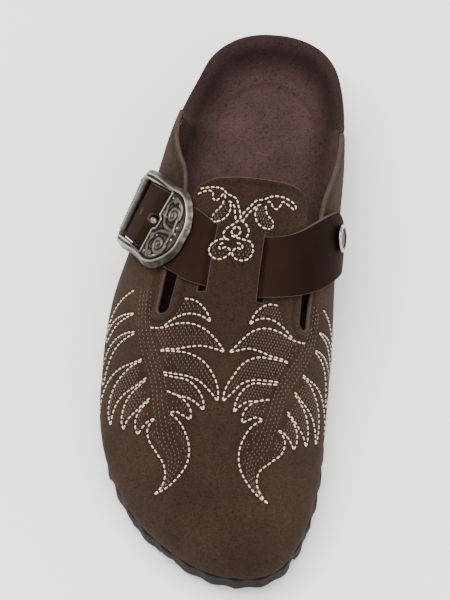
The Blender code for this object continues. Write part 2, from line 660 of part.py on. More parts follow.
def make_buckle_frame():
    outline = frame_outline()
    inner = offset_loop(outline, np.full(len(outline), -1.3))
    loops = [outline, frame_window()]
    extra = np.concatenate([inner, hex_points(loops, 5.5)])
    keep = edge_distance(extra, loops[1]) > 1.2
    keep &= inside(extra, outline) & ~inside(extra, loops[1])
    flat, faces = triangulate(loops, extra[keep])
    low = frame_low(flat[:, 0])
    ear = (np.abs(flat[:, 0] - U_BAR) < EAR_HALF + 0.1) & (np.abs(np.abs(flat[:, 1]) - WINDOW_HALF) < 0.1)
    edge = edge_distance(flat, outline) < 0.4
    high = frame_high(flat[:, 0]) - np.where(edge, 1.1, 0.0)
    base = np.where(ear, BAR_LOW, low)
    return sheet(flat, faces, on_strap(flat[:, 0], flat[:, 1], high),
                 on_strap(flat[:, 0], flat[:, 1], base))


def strip(u0, u1, half, low, high, pieces):
    """Rectangular sheet across the strap, with its ends square."""
    v = np.linspace(-half, half, pieces + 1)
    loop = np.concatenate([np.stack([np.full_like(v, u1), v], -1),
                           np.stack([np.full_like(v, u0), v[::-1]], -1)])
    flat, faces = triangulate([loop])
    return sheet(flat, faces, on_strap(flat[:, 0], flat[:, 1], high), on_strap(flat[:, 0], flat[:, 1], low))


def make_buckle_bar():
    return strip(U_BAR - 1.2, U_BAR + 1.2, WINDOW_HALF - GAP, BAR_LOW, BAR_LOW + BAR_THICKNESS, 6)


def make_buckle_tab():
    u = np.linspace(U_TIP + 4, U_BAR + 2.5, 9)
    half = 9.0
    loop = np.concatenate([np.stack([u, np.full_like(u, -half)], -1), [(U_BAR + 2.5, 0)],
                           np.stack([u[::-1], np.full_like(u, half)], -1),
                           [(U_TIP + 1.5, 4), (U_TIP + 1.5, -4)]])
    flat, faces = triangulate([loop], hex_points([loop], 4.5))
    return sheet(flat, faces, on_strap(flat[:, 0], flat[:, 1], TAB_TOP),
                 on_strap(flat[:, 0], flat[:, 1], GAP))


def tube(path, radii, sides):
    """Round rod with closed ends along a path of points."""
    path = np.array(path, float)
    tangent = np.gradient(path, axis=0)
    points = []
    for p, d, r in zip(path, tangent, radii):
        d = d / np.linalg.norm(d)
        side = np.cross(d, (0.3, 0.9, 0.2))
        side /= np.linalg.norm(side)
        up = np.cross(d, side)
        for k in range(sides):
            a = 2 * math.pi * k / sides
            points.append(p + r * (math.cos(a) * side + math.sin(a) * up))
    solid = []
    for i in range(len(path) - 1):
        for k in range(sides):
            a, b = i * sides + k, i * sides + (k + 1) % sides
            solid.append((a, b, b + sides, a + sides))
    solid.append(tuple(range(sides)))
    solid[-1] = tuple(reversed(solid[-1]))
    solid.append(tuple((len(path) - 1) * sides + k for k in range(sides)))
    return np.array(points), solid


def make_buckle_prong():
    top = frame_high(U_WINDOW[1])
    stations = [(U_BAR + 2.9, BAR_LOW + 0.4, 0.8), (U_BAR + 8, BAR_LOW + 0.6, 0.9),
                (U_HOLE - 1.6, BAR_LOW + 1.3, 1.0), (U_HOLE - 0.1, 5.0, 1.15), (U_HOLE + 1.2, top + 0.6, 1.2),
                (U_HOLE + 2.4, top + 1.3, 1.5), (U_HOLE + 4.4, top + 1.6, 1.4), (U_HOLE + 5.4, top + 1.6, 0.8)]
    path = [on_strap(u, 0.0, lift) for u, lift, _ in stations]
    return tube(path, [row[2] for row in stations], 8)


def make_rivet():
    """Snap cap with a raised rim and a short shank through the strap."""
    seat = GAP + LOOSE + STRAP_THICKNESS + GAP
    profile = [(1.6, GAP + 0.25), (1.6, seat + 0.1), (6.4, seat + 0.15), (6.8, seat + 0.9), (6.2, seat + 1.9),
               (5.3, seat + 1.9), (4.8, seat + 1.3), (2.4, seat + 1.5)]
    centre, above = on_strap(U_RIVET, RIVET_SIDE, 0), on_strap(U_RIVET, RIVET_SIDE, 1)
    axis = above - centre
    side = on_strap(U_RIVET + 1, RIVET_SIDE, 0) - centre
    side -= axis * side.dot(axis)
    side /= np.linalg.norm(side)
    other = np.cross(axis, side)
    sides = 16
    points = []
    for radius, height in profile:
        for k in range(sides):
            a = 2 * math.pi * k / sides
            points.append(centre + axis * height + radius * (math.cos(a) * side + math.sin(a) * other))
    solid = []
    for i in range(len(profile) - 1):
        for k in range(sides):
            a, b = i * sides + k, i * sides + (k + 1) % sides
            solid.append((a, b, b + sides, a + sides))
    solid.append(tuple(reversed(range(sides))))
    solid.append(tuple((len(profile) - 1) * sides + k for k in range(sides)))
    return np.array(points), solid


# ---- objects

# name, maker of the solid, colour, roughness and metallic value
PIECES = [
    ("outsole", make_outsole, (0.022, 0.015, 0.013), 0.75, 0.0),
    ("footbed", make_footbed, (0.040, 0.024, 0.020), 0.85, 0.0),
    ("insole", make_insole, (0.085, 0.045, 0.042), 0.90, 0.0),
    ("upper", make_upper, (0.068, 0.045, 0.030), 0.95, 0.0),
    ("strap", make_strap, (0.042, 0.022, 0.018), 0.45, 0.0),
    ("buckle_tab", make_buckle_tab, (0.042, 0.022, 0.018), 0.50, 0.0),
    ("buckle_bar", make_buckle_bar, (0.25, 0.24, 0.22), 0.35, 1.0),
    ("buckle_frame", make_buckle_frame, (0.36, 0.34, 0.31), 0.35, 1.0),
    ("buckle_prong", make_buckle_prong, (0.45, 0.43, 0.40), 0.30, 1.0),
    ("rivet", make_rivet, (0.50, 0.49, 0.46), 0.30, 1.0),
]


def make_material(name, colour, roughness, metallic):
    material = bpy.data.materials.new(name)
    material.use_nodes = True
    shader = material.node_tree.nodes["Principled BSDF"]
    shader.inputs["Base Color"].default_value = (*colour, 1.0)
    shader.inputs["Roughness"].default_value = roughness
    shader.inputs["Metallic"].default_value = metallic
    return material


def make_object(name, points, solid, material):
    mesh = bpy.data.meshes.new(name)
    mesh.from_pydata([tuple(p * MM) for p in points], [], solid)
    mesh.materials.append(material)
    mesh.validate()
    mesh.shade_smooth()
    mesh.set_sharp_from_angle(angle=math.radians(40))
    piece = bpy.data.objects.new(name, mesh)
    bpy.context.scene.collection.objects.link(piece)
    return piece


def main():
    for old in list(bpy.data.objects):
        bpy.data.objects.remove(old)
    solids = [(name, *maker()) for name, maker, *_ in PIECES]
    everything = np.concatenate([points for _, points, _ in solids])
    low, high = everything.min(axis=0), everything.max(axis=0)
    origin = np.array([(low[0] + high[0]) / 2, (low[1] + high[1]) / 2, low[2]])
    for (name, points, solid), (_, _, colour, roughness, metallic) in zip(solids, PIECES):
        make_object(name, points - origin, solid, make_material(name, colour, roughness, metallic))


main()
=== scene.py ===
# Suede clog for the right foot: strap with an engraved buckle, western leaf stitching on the vamp
# Millimetres in the tables and the functions of the last, metres in the meshes. Toe to -Y, inner side to +X
import bpy
import math
import random
import numpy as np
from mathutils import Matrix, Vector
from mathutils.geometry import delaunay_2d_cdt
from mathutils.kdtree import KDTree


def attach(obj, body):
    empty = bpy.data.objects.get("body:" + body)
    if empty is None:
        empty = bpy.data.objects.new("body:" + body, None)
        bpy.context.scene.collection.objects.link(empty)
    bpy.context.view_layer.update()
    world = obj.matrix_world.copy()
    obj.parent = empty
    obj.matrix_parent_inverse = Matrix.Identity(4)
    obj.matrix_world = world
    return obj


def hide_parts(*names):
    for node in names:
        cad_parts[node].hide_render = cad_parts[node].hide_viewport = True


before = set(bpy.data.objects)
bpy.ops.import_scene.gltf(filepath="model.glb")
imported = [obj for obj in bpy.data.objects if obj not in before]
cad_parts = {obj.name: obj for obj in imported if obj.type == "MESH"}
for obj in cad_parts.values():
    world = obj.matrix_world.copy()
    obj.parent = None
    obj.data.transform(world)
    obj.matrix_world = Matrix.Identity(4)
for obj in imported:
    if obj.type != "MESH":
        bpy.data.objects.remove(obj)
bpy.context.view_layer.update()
print("frame loaded:", len(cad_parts), "nodes")

mm = 0.001
lastOrigin = np.array([0.819, 0.149, 0.0])    # where the frame's origin lies on the last's own axes
gap = 0.3                                 # between pieces that touch


# the last: every piece of the shoe is placed on it
last = {
    "toeY": -139.7, "heelY": 140.5,
    "forefootSole": 12.0, "heelSole": 15.0, "springStart": -62.0, "toeSpring": 6.2, "tuckHeight": 14.0,
    "soleSlope": (-30, 90),               # y where it starts, length
    "arch": (-2, 56, 2.4), "heelBevel": (122, 19, 2.6),       # y where each starts, length, height
    # y, then lateral and medial x of the line where upper and sole meet
    "feather": [
        (-139.7, 18, 18), (-131, -9.5, 40.3), (-125, -18.3, 44), (-113, -31.5, 48.8), (-100, -40.2, 51.8),
        (-85, -47.4, 53.4), (-65, -52, 53.8), (-45, -53, 53.6), (-20, -51.5, 52.6), (0, -48.5, 50.8),
        (20, -44.5, 49.4), (40, -40, 48.8), (60, -36.5, 49), (80, -33, 49.6), (98, -27.5, 49.3),
        (112, -22.4, 47.6), (126.5, -16.4, 42.8), (134, -9, 36), (140.5, 13, 13)],
    # y, ridge x and z, fullness of each side, tuck of each side above the sole
    "section": [
        (-139.7, 18.0, 18.2, 2.2, 2.2, 0.0, 0.0), (-132.5, 17.0, 30.0, 2.2, 2.2, 0.5, 0.5),
        (-124.5, 16.0, 35.5, 2.2, 2.25, 1.0, 0.8), (-113, 14.0, 41.0, 2.2, 2.3, 2.0, 1.2),
        (-100, 12.0, 45.0, 2.2, 2.3, 3.0, 1.5), (-80, 10.5, 50.5, 2.2, 2.35, 3.3, 1.6),
        (-60, 9.5, 56.5, 2.15, 2.4, 3.8, 1.6), (-40, 9.5, 63.5, 2.1, 2.45, 4.2, 1.8),
        (-20, 10.0, 70.5, 2.1, 2.5, 5.5, 2.6), (0, 11.0, 77.5, 2.1, 2.6, 6.5, 3.5),
        (20, 12.5, 84.0, 2.1, 2.65, 6.0, 4.0), (37, 13.0, 88.5, 2.1, 2.7, 5.5, 4.4),
        (60, 13.0, 95.0, 2.2, 2.7, 4.0, 4.4), (93, 12.0, 104.0, 2.3, 2.7, 3.0, 3.0),
        (140.5, 12.0, 112.0, 2.2, 2.6, 0.0, 0.0)],
    # y, then the footbed's height over the outsole at the lateral rim, medial rim and middle
    "footbed": [
        (-139.7, 9.0, 9.0, 8.0), (-100, 10.0, 10.0, 8.0), (-60, 11.5, 12.0, 9.5), (-20, 13.0, 15.0, 11.5),
        (20, 16.0, 21.0, 12.5), (60, 21.0, 25.0, 13.0), (90, 26.5, 28.0, 12.5), (112, 29.0, 29.5, 12.0),
        (140.5, 31.0, 31.0, 12.0)],
}
toeY, heelY = last["toeY"], last["heelY"]


def smooth(x):
    x = np.clip(x, 0.0, 1.0)
    return x * x * (3.0 - 2.0 * x)


def bump(x, width):
    return np.exp(-(x / width) ** 2)


def unit(vectors):
    return vectors / (np.linalg.norm(vectors, axis=-1, keepdims=True) + 1e-9)


def along(y):                             # 0 at the toe, 1 at the heel, slow at both ends
    return np.arccos(np.clip(1.0 - 2.0 * (np.asarray(y, float) - toeY) / (heelY - toeY), -1, 1)) / math.pi


def spline(xs, ys, x):                    # cubic with weighted slopes
    xs, ys = np.array(xs, float), np.array(ys, float)
    step = np.diff(xs)
    slope = np.diff(ys) / step
    m = np.zeros_like(ys)
    m[1:-1] = (slope[:-1] * step[1:] + slope[1:] * step[:-1]) / (step[:-1] + step[1:])
    m[0], m[-1] = 2.0 * slope[0] - m[1], 2.0 * slope[-1] - m[-2]
    x = np.asarray(x, float)
    k = np.clip(np.searchsorted(xs, x) - 1, 0, len(step) - 1)
    u = (x - xs[k]) / step[k]
    return ((2 * u**3 - 3 * u**2 + 1) * ys[k] + (u**3 - 2 * u**2 + u) * step[k] * m[k]
            + (3 * u**2 - 2 * u**3) * ys[k + 1] + (u**3 - u**2) * step[k] * m[k + 1])


def column(table, index, y):
    rows = last[table]
    return spline(along([row[0] for row in rows]), [row[index] for row in rows], along(y))


def toeLift(y):
    return last["toeSpring"] * np.clip((last["springStart"] - y) / (last["springStart"] - toeY), 0, None)**2


def soleTop(y):
    (start, length), y = last["soleSlope"], np.asarray(y, float)
    rise = (last["heelSole"] - last["forefootSole"]) * smooth((y - start) / length)
    return last["forefootSole"] + rise + toeLift(y)


def soleBottom(y):
    (start, length, high), y = last["arch"], np.asarray(y, float)
    arch = high * np.sin(math.pi * np.clip((y - start) / length, 0, 1))**2
    start, length, high = last["heelBevel"]
    return toeLift(y) + arch + high * np.clip((y - start) / length, 0, None)**2


def lastPoint(t, y):                      # t: -1 lateral feather line, 0 ridge, 1 medial feather line
    t, y = np.broadcast_arrays(np.asarray(t, float), np.asarray(y, float))
    lateral = t < 0
    ridgeX = column("section", 1, y)
    base = soleTop(y) + gap
    height = np.maximum(column("section", 2, y) - base, 0.0)
    full = np.where(lateral, column("section", 3, y), column("section", 4, y))
    tuck = np.where(lateral, column("section", 5, y), column("section", 6, y))
    edge = np.where(lateral, column("feather", 1, y), column("feather", 2, y))
    width = np.abs(edge - ridgeX) + tuck
    s, c = np.abs(np.sin(t * math.pi / 2)), np.abs(np.cos(t * math.pi / 2))
    size = (s**full + c**full)**(-1 / full)
    z = height * c * size
    x = width * s * size - tuck * s * np.clip(1 - z / last["tuckHeight"], 0, 1)**2
    return np.stack([ridgeX + np.where(lateral, -x, x), y, base + z], -1)


def lastNormal(t, y):
    t, y = np.broadcast_arrays(np.asarray(t, float), np.asarray(y, float))
    y = np.maximum(y, toeY + 0.15)
    dt, dy = 0.004, 0.1
    across = lastPoint(np.minimum(t + dt, 1.0), y) - lastPoint(np.maximum(t - dt, -1.0), y)
    return unit(np.cross(across, lastPoint(t, y + dy) - lastPoint(t, y - dy)))


def lifted(t, y, lift):
    return lastPoint(t, y) + lastNormal(t, y) * np.asarray(lift, float)[..., None]


# flat curves and triangles
def lengthsAlong(points):                 # distance run from the first point to each
    return np.concatenate([[0], np.cumsum(np.linalg.norm(np.diff(points, axis=0), axis=1))])


def curveThrough(points, step):           # even points on a smooth curve
    points = np.array(points, float)
    lengths = lengthsAlong(points)
    where = np.linspace(0, lengths[-1], max(2, int(round(lengths[-1] / step)) + 1))
    return np.stack([spline(lengths, points[:, i], where) for i in range(points.shape[1])], -1)


def arcPoints(centre, radius, start, end, count):
    angles = np.radians(np.linspace(start, end, count))
    return np.stack([centre[0] + radius * np.cos(angles), centre[1] + radius * np.sin(angles)], -1)


def evenLoop(loop, step):                 # the same loop with points a step apart, corners kept
    out = []
    for a, b in zip(loop, np.roll(loop, -1, axis=0)):
        pieces = max(1, int(round(np.linalg.norm(b - a) / step)))
        out.append(a + (b - a) * np.arange(pieces)[:, None] / pieces)
    return np.concatenate(out)


def closedLoop(*runs):
    points = np.concatenate(runs)
    return points[np.linalg.norm(points - np.roll(points, 1, axis=0), axis=1) > 0.12]


def turnArea(loop):
    x, y = loop[:, 0], loop[:, 1]
    return 0.5 * float(np.sum(x * np.roll(y, -1) - np.roll(x, -1) * y))


def insideLoop(points, loop):
    result = np.zeros(len(points), bool)
    x0, y0 = loop[:, 0], loop[:, 1]
    x1, y1 = np.roll(x0, -1), np.roll(y0, -1)
    for i in range(0, len(points), 4000):
        x, y = points[i:i + 4000, 0][:, None], points[i:i + 4000, 1][:, None]
        crosses = ((y0 > y) != (y1 > y)) & (x < (x1 - x0) * (y - y0) / (y1 - y0 + 1e-12) + x0)
        result[i:i + 4000] = crosses.sum(axis=1) % 2 == 1
    return result


def edgeDistance(points, loop):
    result = np.zeros(len(points))
    run = np.roll(loop, -1, axis=0) - loop
    for i in range(0, len(points), 2000):
        p = points[i:i + 2000, None]
        k = ((p - loop) * run).sum(-1) / ((run**2).sum(-1) + 1e-12)
        near = loop + np.clip(k, 0, 1)[..., None] * run
        result[i:i + 2000] = np.linalg.norm(p - near, axis=-1).min(axis=1)
    return result


def outwardOf(loop):                      # at each point of an anticlockwise loop
    run = np.roll(loop, -1, axis=0) - np.roll(loop, 1, axis=0)
    return unit(np.stack([run[:, 1], -run[:, 0]], -1))


def offsetLoop(loop, distance):
    return loop + outwardOf(loop) * np.asarray(distance)[..., None]


def lineTree(lines):                      # finds the closest point of several flat lines
    samples = np.concatenate(lines)
    tree = KDTree(len(samples))
    for i, (a, r) in enumerate(samples):
        tree.insert((a, r, 0), i)
    tree.balance()
    return tree


def awayFrom(tree, points):
    return np.array([tree.find((a, r, 0))[2] for a, r in points])


def hexPoints(loops, spacing, clear=0.6):
    low, high = loops[0].min(axis=0), loops[0].max(axis=0)
    rows = []
    for j, y in enumerate(np.arange(low[1], high[1], spacing * 0.866)):
        x = np.arange(low[0] + (j % 2) * spacing / 2, high[0], spacing)
        rows.append(np.stack([x, np.full_like(x, y)], -1))
    points = np.concatenate(rows)
    keep = insideLoop(points, loops[0])
    for hole in loops[1:]:
        keep &= ~insideLoop(points, hole)
    points = points[keep]
    for loop in loops:
        points = points[edgeDistance(points, loop) > clear * spacing]
    return points


def triangulate(loops, extra=(), lines=()):
    points, edges = [], []
    for loop in loops:
        first = len(points)
        points.extend(loop)
        edges.extend((first + i, first + (i + 1) % len(loop)) for i in range(len(loop)))
    for line in lines:
        first = len(points)
        points.extend(line)
        edges.extend((first + i, first + i + 1) for i in range(len(line) - 1))
    points.extend(extra)
    result = delaunay_2d_cdt([tuple(map(float, p)) for p in points], edges, [], 0, 1e-5)
    flat = np.array([tuple(p) for p in result[0]])
    faces = np.array([f for f in result[2] if len(f) == 3])
    centres = flat[faces].mean(axis=1)
    keep = insideLoop(centres, loops[0])
    for hole in loops[1:]:
        keep &= ~insideLoop(centres, hole)
    faces = faces[keep]
    a, b, c = flat[faces[:, 0]], flat[faces[:, 1]], flat[faces[:, 2]]
    turn = (b[:, 0] - a[:, 0]) * (c[:, 1] - a[:, 1]) - (b[:, 1] - a[:, 1]) * (c[:, 0] - a[:, 0])
    faces[turn < 0] = faces[turn < 0][:, ::-1]
    used = np.unique(faces)
    index = np.full(len(flat), -1)
    index[used] = np.arange(len(used))
    return flat[used], index[faces]


def edgesOf(faces):
    return np.concatenate([faces[:, [0, 1]], faces[:, [1, 2]], faces[:, [2, 0]]])


def halve(flat, faces):                   # each triangle into four
    pairs, place = np.unique(np.sort(edgesOf(faces), axis=1), axis=0, return_inverse=True)
    middle = len(flat) + place.reshape(3, -1)
    flat = np.concatenate([flat, flat[pairs].mean(axis=1)])
    a, b, c = faces.T
    ab, bc, ca = middle
    faces = np.concatenate([np.stack(f, -1) for f in ((a, ab, ca), (ab, b, bc), (ca, bc, c), (ab, bc, ca))])
    return flat, faces


def borderRings(faces):                   # ordered loops of border points, the sheet on their left
    edges = edgesOf(faces)
    size = int(faces.max()) + 1
    forward = edges[:, 0] * size + edges[:, 1]
    lone = edges[~np.isin(forward, edges[:, 1] * size + edges[:, 0])]
    following = {int(a): int(b) for a, b in lone}
    rings = []
    while following:
        start = next(iter(following))
        ring = [start]
        here = following.pop(start)
        while here != start:
            ring.append(here)
            here = following.pop(here)
        rings.append(np.array(ring))
    return rings


# meshes
def addPiece(name, points, faces, materials, replaced=(), kinds=None, marks=None):
    mesh = bpy.data.meshes.new(name)
    places = (np.asarray(points) - lastOrigin) * mm
    mesh.from_pydata(places.tolist(), [], [list(map(int, f)) for f in faces])
    for finish in materials:
        mesh.materials.append(finish)
    if kinds is not None:
        mesh.polygons.foreach_set("material_index", np.asarray(kinds, np.int32))
    for key, values in (marks or {}).items():       # numbers on the points that the materials read
        layer = mesh.attributes.new(key, "FLOAT", "POINT")
        layer.data.foreach_set("value", np.asarray(values, np.float32))
    mesh.shade_smooth()
    piece = bpy.data.objects.new(name, mesh)
    bpy.context.scene.collection.objects.link(piece)
    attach(piece, "root")
    if replaced:
        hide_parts(*replaced)
    return piece


def bridge(above, below):                 # quads between two rings of point numbers
    return np.stack([above, below, np.roll(below, -1), np.roll(above, -1)], -1)


def tubeFaces(count, size):               # quads between the rings of a tube
    row = np.arange(size)
    quad = np.stack([row, np.roll(row, -1), np.roll(row, -1) + size, row + size], -1)
    return np.concatenate([quad + i * size for i in range(count - 1)]).tolist()


def sheetMesh(loops, spacing, halvings, inset, profile, thickness, extra=None):
    # flat points, depth of each below the outer face, faces, and the kind of each: 0 face, 1 cut edge, 2 back
    inner = [evenLoop(offsetLoop(loop, -inset if i == 0 else inset), spacing) for i, loop in enumerate(loops)]
    fill = hexPoints(inner, spacing)
    if extra is not None:
        fill = np.concatenate([fill, extra])
    flat, faces = triangulate(inner, fill)
    for _ in range(halvings):
        flat, faces = halve(flat, faces)
    rings = borderRings(faces)
    count = len(flat)
    flats, drops, quads, sorts = [flat], [np.zeros(count)], [], []
    total = count
    lowStart = count + sum(len(r) for r in rings) * len(profile)
    for ring in rings:
        base = flat[ring]
        out = outwardOf(base)
        above = ring
        for level, (outward, drop) in enumerate(profile):
            row = total + np.arange(len(ring))
            total += len(ring)
            flats.append(base + out * outward)
            drops.append(np.full(len(ring), drop))
            quads.append(bridge(above, row))
            sorts.append(np.full(len(ring), 0 if level == 0 else 1))
            above = row
        row = lowStart + ring
        quads.append(bridge(above, row))
        sorts.append(np.full(len(ring), 2))
    flats.append(flat)
    drops.append(np.full(count, thickness))
    solid = faces.tolist() + np.concatenate(quads).tolist() + (lowStart + faces[:, ::-1]).tolist()
    kinds = np.concatenate([np.zeros(len(faces))] + sorts + [np.full(len(faces), 2)])
    return np.concatenate(flats), np.concatenate(drops), solid, kinds


def roundedProfile(inset, thickness, face=0.5, back=0.3):     # a soft cut edge: outward step and depth
    return [(0.45 * inset, 0.12 * face), (0.80 * inset, 0.45 * face), (inset, face),
            (inset, thickness - back), (0.75 * inset, thickness - 0.25 * back)]


def capsules(paths, radii, sides, flatten=1.0, ups=None):   # short thread lengths joined in one mesh
    points, faces = [], []
    rows = len(radii)
    turn = np.linspace(0, 2 * math.pi, sides, endpoint=False)
    tube = np.array(tubeFaces(rows, sides))
    for n, path in enumerate(paths):
        path = np.asarray(path, float)
        tangent = unit(np.gradient(path, axis=0))
        side = unit(np.cross(tangent, ups[n]))
        top = np.cross(side, tangent)
        around = (np.cos(turn)[None, :, None] * side[:, None]
                  + flatten * np.sin(turn)[None, :, None] * top[:, None])
        first = len(points) * rows * sides
        points.append((path[:, None] + np.asarray(radii)[:, None, None] * around).reshape(-1, 3))
        faces += (first + tube).tolist()
        faces.append(range(first + sides - 1, first - 1, -1))
        faces.append(range(first + (rows - 1) * sides, first + rows * sides))
    return np.concatenate(points), faces


# materials
multiply = {"data_type": "RGBA", "blend_type": "MULTIPLY"}


def fromHex(code):                        # sRGB hex to linear
    values = [int(code[i:i + 2], 16) / 255 for i in (1, 3, 5)]
    return tuple(v / 12.92 if v <= 0.04045 else ((v + 0.055) / 1.055)**2.4 for v in values) + (1.0,)


def perMetre(size):                       # texture scale for a feature of this many millimetres
    return 1.0 / (size * mm)


def addNode(tree, kind, settings, links, output=0):
    made = tree.nodes.new("ShaderNode" + kind)
    for key, value in settings.items():
        if key != "stops":
            setattr(made, key, value)
            continue
        band = made.color_ramp.elements
        while len(band) < len(value):
            band.new(0.5)
        for element, (place, colour) in zip(band, value):
            element.position = place
            element.color = fromHex(colour) if isinstance(colour, str) else (colour, colour, colour, 1.0)
    for key, value in links.items():
        value = fromHex(value) if isinstance(value, str) else value
        if isinstance(value, bpy.types.NodeSocket):
            tree.links.new(value, made.inputs[key])
        else:
            made.inputs[key].default_value = value
    return made.outputs[output]


def newMaterial(name, **sockets):         # a principled surface with the values that are the same all over
    made = bpy.data.materials.new(name)
    made.use_nodes = True
    tree = made.node_tree
    shader = tree.nodes["Principled BSDF"]
    for key, value in sockets.items():
        shader.inputs[key].default_value = value
    return made, tree, addNode(tree, "TexCoord", {}, {}, "Object")


def linkShader(tree, **sockets):          # the values that vary over the surface, and the node of its relief
    shader = tree.nodes["Principled BSDF"]
    for key, value in sockets.items():
        tree.links.new(value, shader.inputs[key.replace("_", " ")])


def addMarks(tree, colour, marks):        # tints the places that the mesh marks, such as the stitched leaves
    for mark, tint in marks.items():
        share = addNode(tree, "Attribute", {"attribute_name": mark}, {}, "Fac")
        colour = addNode(tree, "Mix", multiply, {0: share, 6: colour, 7: tint}, 2)
    return colour


def makeSuede(name, look):
    # split leather, buffed and dyed: a matt nap that takes light at grazing angles, brushed into soft patches
    finish, tree, coords = newMaterial(name, **{
        "Roughness": 0.95, "Specular IOR Level": 0.12, "Sheen Weight": look["sheen"], "Sheen Roughness": 0.45,
        "Sheen Tint": fromHex(look["nap"])})
    patches = addNode(tree, "TexNoise", {}, {
        "Vector": coords, "Scale": perMetre(look["patchSize"]), "Detail": 3.0, "Roughness": 0.55})
    fibres = addNode(tree, "TexNoise", {}, {
        "Vector": coords, "Scale": perMetre(look["fibreSize"]), "Detail": 3.0, "Roughness": 0.7})
    specks = addNode(tree, "TexNoise", {}, {
        "Vector": coords, "Scale": perMetre(look["speckSize"]), "Detail": 1.0})
    stops = [(0.30, look["dark"]), (0.50, look["base"]), (0.72, look["light"])]
    colour = addNode(tree, "ValToRGB", {"stops": stops}, {"Fac": patches})
    stops = [(0.25, look["fibreDark"]), (0.75, look["fibreLight"])]
    tone = addNode(tree, "ValToRGB", {"stops": stops}, {"Fac": fibres})
    colour = addNode(tree, "Mix", multiply, {0: 1.0, 6: colour, 7: tone}, 2)
    dots = addNode(tree, "ValToRGB", {"stops": [(0.28, look["speckDark"]), (0.40, 1.0)]}, {"Fac": specks})
    colour = addNode(tree, "Mix", multiply, {0: 1.0, 6: colour, 7: dots}, 2)
    coarse = addNode(tree, "Bump", {}, {"Height": specks, "Distance": 0.22 * mm, "Strength": 0.6})
    nap = addNode(tree, "Bump", {}, {
        "Height": fibres, "Distance": look["napDepth"] * mm, "Strength": 0.8, "Normal": coarse})
    linkShader(tree, Base_Color=addMarks(tree, colour, look["marks"]), Normal=nap)
    return finish


def makeThread(name, colour, shade, shine=0.3):
    # three-ply polyester thread: satin and twisted, with painted shade between the plies
    finish, tree, coords = newMaterial(name, **{
        "Roughness": 0.55, "Sheen Weight": shine, "Specular IOR Level": shine})
    plies = addNode(tree, "TexWave", {"bands_direction": "DIAGONAL"}, {
        "Vector": coords, "Scale": perMetre(2.2), "Distortion": 1.0})
    wear = addNode(tree, "TexNoise", {}, {"Vector": coords, "Scale": perMetre(6.0), "Detail": 2.0})
    cover = addNode(tree, "Mix", {"data_type": "RGBA"}, {0: plies, 6: shade, 7: colour}, 2)
    tint = addNode(tree, "ValToRGB", {"stops": [(0.3, 0.80), (0.7, 1.0)]}, {"Fac": wear})
    linkShader(tree, Base_Color=addNode(tree, "Mix", multiply, {0: 1.0, 6: cover, 7: tint}, 2),
               Normal=addNode(tree, "Bump", {}, {"Height": plies, "Distance": 0.08 * mm, "Strength": 0.6}))
    return finish


def makeLeather(name, look):
    # veg-tanned strap leather, drum dyed and waxed: smooth grain with fine pores and a soft shine
    finish, tree, coords = newMaterial(name, **{"Specular IOR Level": 0.02})
    cloud = addNode(tree, "TexNoise", {}, {"Vector": coords, "Scale": perMetre(22.0), "Detail": 3.0})
    grain = addNode(tree, "TexVoronoi", {"feature": "SMOOTH_F1"}, {
        "Vector": coords, "Scale": perMetre(0.9), "Smoothness": 0.4}, "Distance")
    pores = addNode(tree, "TexNoise", {}, {"Vector": coords, "Scale": perMetre(0.35), "Detail": 2.0})
    colour = addNode(tree, "ValToRGB", {"stops": [(0.3, look["dark"]), (0.7, look["base"])]}, {"Fac": cloud})
    gloss = addNode(tree, "MapRange", {}, {
        "Value": cloud, "To Min": look["gloss"][0], "To Max": look["gloss"][1]})
    fine = addNode(tree, "Bump", {}, {"Height": pores, "Distance": 0.04 * mm, "Strength": 0.5})
    relief = addNode(tree, "Bump", {}, {
        "Height": grain, "Distance": 0.06 * mm, "Strength": look["grain"], "Normal": fine})
    linkShader(tree, Base_Color=addMarks(tree, colour, look["marks"]), Roughness=gloss, Normal=relief)
    return finish


def makeCutEdge(name, colour, dark):
    # raw cut leather: pale fibres in layers, dry and matt
    finish, tree, coords = newMaterial(name, **{"Roughness": 0.9, "Specular IOR Level": 0.2})
    fibres = addNode(tree, "TexNoise", {}, {
        "Vector": coords, "Scale": perMetre(0.5), "Detail": 3.0, "Roughness": 0.7})
    patches = addNode(tree, "TexNoise", {}, {"Vector": coords, "Scale": perMetre(7.0), "Detail": 2.0})
    shade = addNode(tree, "ValToRGB", {"stops": [(0.3, dark), (0.65, colour)]}, {"Fac": fibres})
    tint = addNode(tree, "ValToRGB", {"stops": [(0.3, 0.72), (0.7, 1.0)]}, {"Fac": patches})
    linkShader(tree, Base_Color=addNode(tree, "Mix", multiply, {0: 1.0, 6: shade, 7: tint}, 2),
               Normal=addNode(tree, "Bump", {}, {"Height": fibres, "Distance": 0.15 * mm, "Strength": 0.7}))
    return finish


